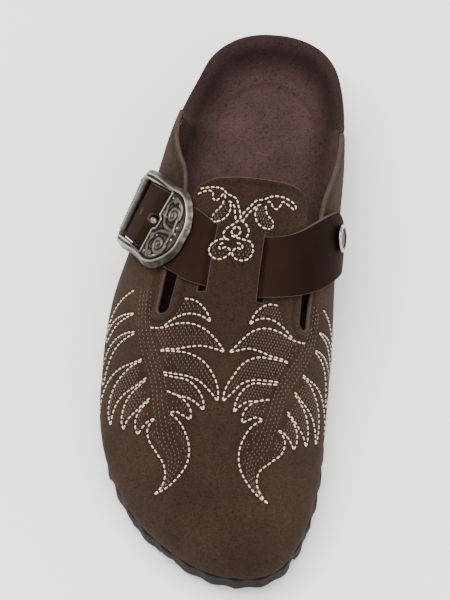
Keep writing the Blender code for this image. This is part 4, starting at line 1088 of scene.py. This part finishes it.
def leafFill(spacing):                    # short strokes in even rows, thinner towards the spine
    spine = sampled(stitching["spine"], 1.0)
    spineTree = lineTree([spine, sampled(mirrored(stitching["spine"]), 1.0)])
    start, fade = sewing["fillThin"]
    kept = []
    for i, loop in enumerate(leafLoops):
        points = hexPoints([loop if turnArea(loop) > 0 else loop[::-1]], spacing)
        if len(points) == 0:
            continue
        clear = awayFrom(creamTree, points) > sewing["fillFromCream"]
        points = points[clear & insideLoop(points, outline)]
        points = points[edgeDistance(points, outline) > sewing["fillFromEdge"]]
        away = awayFrom(spineTree, points) if i < len(leafLoops) - 4 else np.full(len(points), 99.0)
        kept += [p for p, d in zip(points, away) if random.random() < smooth((d - start) / fade)]
    return np.array(kept)


def addThread(name, stitches, taper, radius, sides, finish):
    paths, ups = stitches
    points, faces = capsules(paths, np.array(sewing[taper]) * radius, sides, sewing["flatten"], ups)
    addPiece(name, points, faces, [finish])


def makeLeaves():
    s = stitching
    addThread("stitching_leaves", sewAll(creamLines, s["pitch"], s["length"], sewing["embroidery"]), "taper",
              s["radius"], 6, makeThread("cream embroidery thread", s["cream"], s["creamShade"]))


def makeFill():
    s = stitching
    spines = []
    for side in (np.array, mirrored):
        spine = asPattern(side(curveThrough(s["spine"], 0.5)))
        width = np.interp(np.arange(len(spine)), [0, len(spine) * 0.75, len(spine) - 1], [1.0, 1.0, 0.25])
        spines += [shifted(spine, row * width)[int(2 + row):] for row in sewing["spineRows"]]
    paths, ups = sewAll(spines, sewing["spinePitch"], sewing["strokeLength"], sewing["stroke"])
    strokes = leafFill(sewing["fillSpacing"])
    t, y = fromPattern(strokes[:, None] + np.array([(0, -0.45), (0, 0), (0, 0.45)]))
    paths += list(lifted(t, y, upperLift(strokes)[0][:, None] + sewing["stroke"]))
    ups += list(lastNormal(t, y))
    addThread("stitching_fill", (paths, ups), "strokeTaper", s["toneRadius"], 5,
              makeThread("tone embroidery thread", s["tone"], s["toneShade"]))


def makeSeams():
    rows = list(toneLines)
    for slot, outward in (("slotLateral", sewing["slotRow"]), ("slotMedial", -sewing["slotRow"])):
        high, low = upper[slot + "Ends"]
        rows.append(toPattern(np.full(60, upper[slot][1]), np.linspace(low, high, 60)) + (outward, 0))
    stitches = sewAll(rows, sewing["seamPitch"], sewing["seamLength"], sewing["seam"])
    addThread("stitching_edges", stitches, "taper", sewing["seamRadius"], 5,
              makeThread("brown seam thread", sewing["seamColour"], sewing["seamShade"], 0.05))


random.seed(7)
makeLeaves()
makeFill()
makeSeams()
print("stitching made")


# strap: one leather strap under the flap's panel, buckled outside and snapped inside
strap = {
    "half": 13.7, "narrow": 12.5, "thickness": 2.3, "loose": 1.2, "chart": 95.0,
    "rivetT": 0.69, "rivetSide": 2.5, "past": 12.0,       # where the snap sits, and what lies beyond it
    "holes": (2.9, 1.9, 1.4, 2.2),                        # half sizes: the prong's hole twice, spare, snap
    # t and y of the middle line, from the tail on the outer side of the foot to the snap on the inner side
    "line": [(-0.97, 51), (-0.86, 44.5), (-0.76, 38), (-0.66, 31.5), (-0.56, 25), (-0.45, 17), (-0.33, 9),
             (-0.25, 4.5), (-0.17, 1.5), (-0.04, -1), (0.1, -2.7), (0.21, -1.6), (0.32, 1.3), (0.41, 5.5),
             (0.508, 12), (0.62, 20.5), (0.733, 29), (0.80, 34.5), (0.94, 46)],
    "spacing": 1.6, "edge": 0.45,
    "leather": {"base": "#22150F", "dark": "#1A100B", "gloss": (0.56, 0.68), "grain": 0.45,
                # the inner mark darkens and reddens the strap towards the inner side: partly a redder tone,
                # partly painted shade on the side turned from the light
                "marks": {"inner": "#B59084"}},
    "cut": "#4F3F3A", "cutDark": "#342926",
    "flesh": {"base": "#2A1E18", "dark": "#211712", "light": "#33261F", "nap": "#4A3D34", "sheen": 0.08,
              "patchSize": 18.0, "fibreSize": 0.8, "speckSize": 1.5, "napDepth": 0.2, "fibreDark": 0.75,
              "fibreLight": 1.1, "speckDark": 0.8, "marks": {}},
}
buckle = {
    # t of the rail, and mm from it; the holes are counted from the window's front edge and from each other
    "railT": -0.775, "window": (9.8, 34.4), "barAt": 17.0, "holeBack": 2.8, "spareStep": 11.2,
    # slant at the rail and past it, where that starts, over what length; where it ends, over what length
    "skew": (0.1, 0.26, 10, 20), "skewEnd": (66, 12),
    "tabHalf": 9.0, "tabNose": 4.0, "barHalf": 1.2,
    "tab": 1.5, "bar": 1.8, "frame": 2.6, "windowHalf": 13.2, "side": 1.2, "railRise": 1.8, "spacing": 0.95,
    "skirt": [(0, 6.6), (6.8, 6.6), (9.8, 1.5), (38, 1.5), (46, 2.6), (56, 2.6)],     # u, width of the slope
    "rimLow": 1.25, "crown": 1.05,            # height of the outer edge, and of the face over it
    "hatchPitch": 1.35, "hatchDepth": 0.24, "scrollHeight": 0.36, "scrollWidth": 0.60,
    "cutDepth": 0.22, "ridgeHeight": 0.42, "grooveDepth": 0.40, "rimHeight": 0.45, "ditchDepth": 0.25,
    # u past the hole, height over the plate and radius
    "prongTip": [(1.2, 0.2, 1.15), (2.0, 0.7, 1.25), (2.6, 0.8, 1.45), (3.4, 0.9, 1.55), (4.2, 0.9, 1.40),
                 (4.9, 0.9, 0.9), (5.2, 0.9, 0.3)],
    "silver": {"black": "#0E0C0B", "base": "#2F2925", "bright": "#948D85", "blotch": 0.40,
               "gloss": (0.50, 0.24)},
}
slotA, slotB = upper["slotLateral"], upper["slotMedial"]
dives = [slotA[0] + 0.005, slotA[1] - 0.005, slotB[1] + 0.005, slotB[0] - 0.005]
strapRows = np.array(strap["line"])
midLine = curveThrough(np.column_stack([strapRows[:, 0] * strap["chart"], strapRows[:, 1]]), 1.0)
midU = lengthsAlong(midLine)


def uAt(t):
    return float(np.interp(t * strap["chart"], midLine[:, 0], midU))


uRail, uRivet = uAt(buckle["railT"]), uAt(strap["rivetT"])


def onChart(u, v):                        # t and y of a point v beside the middle line; the buckle sits askew
    u, v = np.broadcast_arrays(np.asarray(u, float), np.asarray(v, float))
    (least, most, start, length), (end, fade) = buckle["skew"], buckle["skewEnd"]
    near = smooth((uRail + end - u) / fade)
    u = u - (least + (most - least) * smooth((u - uRail - start) / length)) * near * v
    v = v + buckle["side"] * near
    a, y = np.interp(u, midU, midLine[:, 0]), np.interp(u, midU, midLine[:, 1])
    da = np.interp(u + 1.5, midU, midLine[:, 0]) - np.interp(u - 1.5, midU, midLine[:, 0])
    dy = np.interp(u + 1.5, midU, midLine[:, 1]) - np.interp(u - 1.5, midU, midLine[:, 1])
    size = np.hypot(da, dy)
    return np.clip((a - v * dy / size) / strap["chart"], -1.0, 1.0), y + v * da / size


def onStrap(u, v, lift):
    t, y = onChart(u, v)
    return lifted(t, y, np.broadcast_to(np.asarray(lift, float), t.shape))


uTip, uWindow, uBar = uRail - 8.0, tuple(uRail + u for u in buckle["window"]), uRail + buckle["barAt"]
uHole, uEnd = uWindow[1] - buckle["holeBack"], uRivet + strap["past"]
uSpare = uHole - buckle["spareStep"]      # the next hole along
tabTop = gap + buckle["tab"]
barLow = tabTop + gap
humpTop = barLow + buckle["bar"] + gap + 0.3


def strapLift(u, v):                      # under face: over tab and bar, along the upper, under the panel
    u = np.asarray(u, float)
    t = onChart(u, v)[0]
    flat = gap + strap["loose"] * smooth((t - 0.45) / 0.35)
    tail = tabTop + gap + 0.2
    tail = tail + (flat - tail) * smooth((u - uBar) / (uWindow[1] - uBar - 1.5))
    hump = smooth((u - uWindow[0] - 0.8) / 4.5) * smooth((uWindow[1] - 0.6 - u) / 5.3)
    lift = tail + (humpTop - tail) * hump
    under = upper["panelRaise"] - upper["wall"] - gap - strap["thickness"] - 0.1
    dive = smooth((t - dives[0]) / (dives[1] - dives[0])) * smooth((dives[3] - t) / (dives[3] - dives[2]))
    return lift + (under - gap) * dive


def roundHole(u, v, halfU, halfV):
    angles = np.linspace(0, 2 * math.pi, 24, endpoint=False)
    return np.stack([u + halfU * np.cos(angles), v + halfV * np.sin(angles)], -1)


def strapHalf(u):                         # narrower where it goes through the buckle's window
    return strap["half"] - (strap["half"] - strap["narrow"]) * smooth((uRail + 50 - u) / 10)


def strapOutline():
    half, narrow = strap["half"], strap["narrow"]
    far = arcPoints((uEnd - half + 2.5, 0), half, -90, 90, 36)
    near = curveThrough([(uTip + 10, narrow), (uTip + 4, 10.0), (uTip, 5.0), (uTip, -5.0), (uTip + 4, -10.0),
                         (uTip + 10, -narrow)], 1.2)
    u = np.linspace(near[0, 0], far[0, 0], 120)[1:-1]
    low = np.stack([u, -strapHalf(u)], -1)
    return closedLoop(low, far, low[::-1] * (1, -1), near)


def makeStrap():
    long, wide, spare, snapHole = strap["holes"]
    loops = [strapOutline(), roundHole(uHole, 0, long, wide), roundHole(uSpare, 0, spare, spare),
             roundHole(uRivet, strap["rivetSide"], snapHole, snapHole)]
    thick, spacing, edge = strap["thickness"], strap["spacing"], strap["edge"]
    flat, drop, solid, kinds = sheetMesh(loops, spacing, 1, edge,
                                         roundedProfile(edge, thick, 0.35), thick)
    u, v = flat.T
    points = onStrap(u, v, strapLift(u, v) + thick - drop)
    t = onChart(u, v)[0]
    finishes = [makeLeather("waxed strap leather", strap["leather"]),
                makeCutEdge("cut strap edge", strap["cut"], strap["cutDark"]),
                makeSuede("strap flesh side", strap["flesh"])]
    # darker and redder towards the inner side of the foot: partly a redder tone, partly painted shade
    addPiece("strap_leather", points, solid, finishes, ["strap"], kinds,
             {"inner": smooth((t - 0.05) / 0.75)})


def makeTab():                            # the leather that holds the buckle's bar, under the strap's tail
    half, nose, thick = buckle["tabHalf"], buckle["tabNose"], buckle["tab"]
    u = np.linspace(uTip + nose, uBar + 2.5, 12)
    loop = np.concatenate([np.stack([u, np.full_like(u, -half)], -1), [(uBar + 2.5, 0)],
                           np.stack([u[::-1], np.full_like(u, half)], -1),
                           [(uTip + 1.5, nose), (uTip + 1.5, -nose)]])
    flat, drop, solid, kinds = sheetMesh([loop], 2.0, 1, 0.4, roundedProfile(0.4, thick, 0.3), thick)
    points = onStrap(flat[:, 0], flat[:, 1], tabTop - drop)
    finishes = [makeLeather("buckle tab leather", {**strap["leather"], "marks": {}}),
                makeCutEdge("cut tab edge", strap["cut"], strap["cutDark"]),
                makeSuede("tab flesh side", strap["flesh"])]
    addPiece("buckle_tab_leather", points, solid, finishes, ["buckle_tab"], kinds)


makeStrap()
makeTab()
print("strap made")


# buckle: cast plate with a window, engraved with scrolls, on a bar behind the strap
scrolls = {                               # u past the window and v: middle, radius, turns, start, hand
    "spirals": [(8.6, 5.9, 3.7, 1.7, -20, 1), (9.2, -6.9, 3.8, 1.8, 20, -1), (5.9, 11.4, 1.5, 1.2, 200, -1),
                (6.2, -11.8, 1.6, 1.2, 160, 1), (2.6, 5.0, 1.2, 1.0, 20, -1), (2.6, -5.4, 1.2, 1.0, -20, 1)],
    "stems": [[(13.6, 0.2), (12.8, 2.4), (12.2, 4.7)], [(13.6, -0.2), (13.1, -3.0), (12.8, -5.6)],
              [(13.2, 0.6), (9.2, 0.6), (5.6, 1.6), (3.8, 4.4)],
              [(13.2, -0.6), (9.4, -1.2), (5.8, -2.2), (3.8, -4.9)],
              [(3.6, 5.6), (2.6, 8.6), (4.5, 11.0)], [(3.6, -6.0), (2.6, -9.0), (4.7, -11.4)],
              [(13.0, 5.8), (12.2, 8.8), (9.6, 11.2), (7.2, 12.2)],
              [(13.4, -6.2), (12.6, -9.2), (10.0, -11.6), (7.6, -12.8)]],
    "beads": [(14.6, 2.6, 0.6), (14.9, 0.0, 0.65), (14.6, -2.6, 0.6), (5.6, 4.0, 0.5), (5.6, -4.2, 0.55),
              (9.4, 10.4, 0.5), (3.0, 11.6, 0.5), (3.0, -12.0, 0.5), (10.2, -11.4, 0.5)],
}


def frameLow(u):                          # close over the strap at the plate, over the tab at the rail
    step = tabTop * (1 - smooth((np.asarray(u, float) - uBar) / (uWindow[1] - uBar + 2)))
    return 2 * gap + strap["thickness"] + 0.4 + step


def frameOutline():
    half = [(0.0, 12.0), (1.6, 15.4), (5.5, 16.8), (12, 17.4), (22, 17.3), (30, 16.5), (35, 16.5), (40, 17.2),
            (45.5, 16.4), (50, 13.4), (53.8, 8.8), (55.6, 4.0)]
    high = curveThrough(half, 0.9) + (uRail, 0)
    loop = closedLoop(high[::-1] * (1, -1), high)
    return loop if turnArea(loop) > 0 else loop[::-1]


def frameWindow():
    u0, u1 = uWindow
    half = buckle["windowHalf"]
    return evenLoop(np.array([(u0, -half), (u1, -half), (u1, -2.9), (u1 + 2.2, -1.7), (u1 + 2.2, 1.7),
                              (u1, 2.9), (u1, half), (u0, half)]), 0.9)


def spiral(u, v, radius, turns, start, hand):
    angle = np.radians(start) + hand * np.linspace(0, turns * 2 * math.pi, 90)
    reach = radius * (1 - 0.86 * np.linspace(0, 1, 90)**0.85)
    return np.stack([u + reach * np.cos(angle), v + reach * np.sin(angle)], -1)


def frameRelief(flat, outline, window):   # height of the plate's face over its own base, and how worn it is
    fromOut, fromIn = edgeDistance(flat, outline), edgeDistance(flat, window)
    around = evenLoop(outline, 0.15)
    run, tree = lengthsAlong(around), lineTree([around])
    s = np.array([run[tree.find((u, v, 0))[1]] for u, v in flat])
    rail = 1 - smooth((flat[:, 0] - uWindow[0]) / 1.5)            # the rear rail slopes down its whole width
    skirt = np.interp(flat[:, 0] - uRail, *np.array(buckle["skirt"]).T)
    into = fromOut - skirt
    rise = buckle["railRise"] * (1 - smooth((flat[:, 0] - uRail - 3) / 14))
    height = buckle["rimLow"] + (buckle["crown"] + rise) * smooth(fromOut / skirt)
    hatch = np.cos(2 * math.pi * s / buckle["hatchPitch"]) * smooth(fromOut / 0.5) * smooth(-into / 0.4)
    hatch *= 1 - smooth((flat[:, 0] - uWindow[0]) / 4)
    height += buckle["hatchDepth"] * hatch
    ridge = bump(into - 0.35, 0.42)
    groove = bump(into - 1.25, 0.42) * (1 - rail)
    rim = bump(fromIn - 0.55, 0.42)
    ditch = bump(fromIn - 1.35, 0.32) * smooth((into - 0.2) / 0.6)
    height += buckle["ridgeHeight"] * ridge * (1 - 0.7 * rail) - buckle["grooveDepth"] * groove
    height += buckle["rimHeight"] * rim - buckle["ditchDepth"] * ditch
    field = smooth((into - 1.6) / 0.5) * smooth((fromIn - 1.6) / 0.4)
    lines = [spiral(uWindow[1] + u, v, *rest) for u, v, *rest in scrolls["spirals"]]
    lines += [curveThrough(np.array(row) + (uWindow[1], 0), 0.2) for row in scrolls["stems"]]
    away = awayFrom(lineTree(lines), flat)
    scroll = bump(away, buckle["scrollWidth"])
    cut = bump(away - 1.05, 0.34)                                 # the engraved line on each side of a scroll
    beads = np.zeros(len(flat))
    for u, v, radius in scrolls["beads"]:
        reach = np.hypot(flat[:, 0] - uWindow[1] - u, flat[:, 1] - v) / radius
        beads = np.maximum(beads, np.sqrt(np.clip(1 - reach**2, 0, 1)))
    stipple = np.sin(flat[:, 0] * 6.3) * np.sin(flat[:, 1] * 6.3 + flat[:, 0])
    engraved = buckle["scrollHeight"] * scroll - buckle["cutDepth"] * cut + 0.04 * stipple - 0.06
    height += field * (engraved + 0.5 * beads)
    wiped = 0.52 + 0.46 * np.maximum(ridge, rim) - 0.42 * np.maximum(groove, ditch) + 0.30 * hatch
    wiped += field * (0.10 * scroll - 0.36 * cut + 0.03 + 0.45 * beads)
    return height, np.clip(wiped, 0, 1)


def makeFrame():
    outline, window = frameOutline(), frameWindow()
    thick, spacing = buckle["frame"], buckle["spacing"]
    flat, drop, solid, _ = sheetMesh([outline, window], spacing, 2, 0.45,
                                     roundedProfile(0.45, thick, 0.3), thick)
    height, wiped = frameRelief(flat, outline, window)
    u, v = flat.T
    points = onStrap(u, v, frameLow(u) + height * (1 - drop / thick))
    wiped = np.where(drop > thick - 0.1, 0.25, wiped)
    silver = makeSilver("blackened cast silver", buckle["silver"])
    addPiece("buckle_frame_engraved", points, solid, [silver], ["buckle_frame"],
             marks={"wiped": wiped})


def makeBar():
    half, thick = buckle["windowHalf"] - gap, buckle["bar"]
    low, high = uBar - buckle["barHalf"], uBar + buckle["barHalf"]
    loop = np.array([(low, -half), (high, -half), (high, half), (low, half)])
    flat, drop, solid, _ = sheetMesh([loop], 0.8, 1, 0.5, roundedProfile(0.5, thick, 0.5, 0.5), thick)
    points = onStrap(flat[:, 0], flat[:, 1], barLow + thick - drop)
    silver = makeSilver("buckle bar silver", buckle["silver"])
    addPiece("buckle_bar_rod", points, solid, [silver], ["buckle_bar"],
             marks={"wiped": np.full(len(points), 0.45)})


def makeProng():                          # a bent wire with a round tip, resting in the notch of the window
    top = float(frameLow(uWindow[1])) + buckle["frame"]
    rows = [(uBar + 2.9, barLow + 0.4, 0.8), (uBar + 8, barLow + 0.6, 0.9),
            (uHole - 1.6, barLow + 1.3, 1.0), (uHole - 0.1, 5.0, 1.1)]      # u, height, radius
    rows += [(uHole + u, top + rise, radius) for u, rise, radius in buckle["prongTip"]]
    table = curveThrough(rows, 0.18)
    path = onStrap(table[:, 0], 0.0, table[:, 1])
    ups = np.tile(onStrap(uHole, 0.0, 1.0) - onStrap(uHole, 0.0, 0.0), (len(path), 1))
    points, solid = capsules([path], np.maximum(table[:, 2], 0.25), 20, 1.0, [ups])
    silver = makeSilver("polished prong silver", {**buckle["silver"], "blotch": 0.2})
    addPiece("buckle_prong_wire", points, solid, [silver], ["buckle_prong"],
             marks={"wiped": np.full(len(points), 0.74)})


# snap: pressed steel cap with a rolled rim over a blackened middle
snap = {
    "shank": 1.6, "sides": 64,
    # radius, height over the strap and brightness, from under the rim to the middle
    "cap": [(1.6, 0.05, 0.4), (6.2, 0.1, 0.4), (6.7, 0.4, 0.4), (6.8, 0.9, 0.6), (6.7, 1.4, 0.9),
            (6.3, 1.8, 1), (5.7, 1.9, 0.9), (5.1, 1.7, 0.5), (4.7, 1.3, 0), (4.3, 1.1, 0), (3.9, 1.2, 0),
            (3.5, 1.4, 0.3), (2.7, 1.5, 0.1), (2.3, 1.4, 0), (1.4, 1.45, 0.05), (0.6, 1.5, 0.1),
            (0.02, 1.5, 0.1)],
    "silver": {"black": "#0B0908", "base": "#2E2A27", "bright": "#A8A29B", "blotch": 0.2,
               "gloss": (0.45, 0.18)},
}


def makeSnap():
    seat = gap + strap["loose"] + strap["thickness"] + gap
    rows = [(snap["shank"], gap + 0.25, 0.4)] + [(r, seat + h, worn) for r, h, worn in snap["cap"]]
    centre, above = onStrap(uRivet, strap["rivetSide"], 0), onStrap(uRivet, strap["rivetSide"], 1)
    axis = above - centre
    side = onStrap(uRivet + 1, strap["rivetSide"], 0) - centre
    side = unit(side - axis * side.dot(axis))
    other = np.cross(axis, side)
    turn = np.linspace(0, 2 * math.pi, snap["sides"], endpoint=False)
    around = np.cos(turn)[:, None] * side + np.sin(turn)[:, None] * other
    points = np.concatenate([centre + axis * h + r * around for r, h, _ in rows])
    size = snap["sides"]
    solid = tubeFaces(len(rows), size) + [range(size - 1, -1, -1)]
    solid.append(range((len(rows) - 1) * size, len(rows) * size))
    silver = makeSilver("nickel snap cap", snap["silver"])
    addPiece("snap_cap", points, solid, [silver], ["rivet"],
             marks={"wiped": np.repeat([worn for _, _, worn in rows], size)})


makeFrame()
makeBar()
makeProng()
makeSnap()
print("buckle and snap made")


# floor, light and camera
stage = {
    "floor": "#F4F3F1", "floorShade": "#F1F0EE", "floorSize": 3.2,
    "key": ((-0.35, 0.15, 1.9), 60.0, 1.5), "fill": ((0.9, -1.3, 1.3), 20.0, 1.6),     # place, power, size
    "lit": (0, 0, 0.03), "world": 1.4,
    "eye": (61.4, -669.2, 1480.1), "aim": (0.0, -2.0, 34.0), "lens": 196.0,       # mm, and mm of the lens
}


def makeFloor():
    # matt painted board: plain, pale, with a barely uneven roller finish
    finish, tree, coords = newMaterial("matt painted board", **{"Roughness": 0.9})
    cloud = addNode(tree, "TexNoise", {}, {"Vector": coords, "Scale": perMetre(300.0)})
    colours = {0: cloud, 6: stage["floorShade"], 7: stage["floor"]}
    linkShader(tree, Base_Color=addNode(tree, "Mix", {"data_type": "RGBA"}, colours, 2))
    mesh = bpy.data.meshes.new("floor")
    half = stage["floorSize"] / 2
    corners = [(x * half, y * half, 0) for x, y in ((-1, -1), (1, -1), (1, 1), (-1, 1))]
    mesh.from_pydata(corners, [], [(0, 1, 2, 3)])
    mesh.materials.append(finish)
    floor = bpy.data.objects.new("floor", mesh)
    bpy.context.scene.collection.objects.link(floor)


def addLight(name, place, power, size):
    lamp = bpy.data.lights.new(name, "AREA")
    lamp.energy = power
    lamp.size = size
    made = bpy.data.objects.new(name, lamp)
    made.location = place
    made.rotation_euler = (Vector(stage["lit"]) - Vector(place)).to_track_quat("-Z", "Y").to_euler()
    bpy.context.scene.collection.objects.link(made)


def makeCamera():
    lens = bpy.data.cameras.new("camera")
    lens.lens = stage["lens"]
    lens.clip_end = 20.0
    made = bpy.data.objects.new("camera", lens)
    eye, aim = Vector(stage["eye"]) * mm, Vector(stage["aim"]) * mm
    made.location = eye
    made.rotation_euler = (aim - eye).to_track_quat("-Z", "Y").to_euler()
    bpy.context.scene.collection.objects.link(made)
    bpy.context.scene.camera = made


makeFloor()
addLight("overhead softbox", *stage["key"])
addLight("front fill", *stage["fill"])
world = bpy.data.worlds.new("pale room")
world.use_nodes = True
world.node_tree.nodes["Background"].inputs["Color"].default_value = (1.0, 1.0, 1.0, 1.0)
world.node_tree.nodes["Background"].inputs["Strength"].default_value = stage["world"]
bpy.context.scene.world = world
makeCamera()
print("stage set")
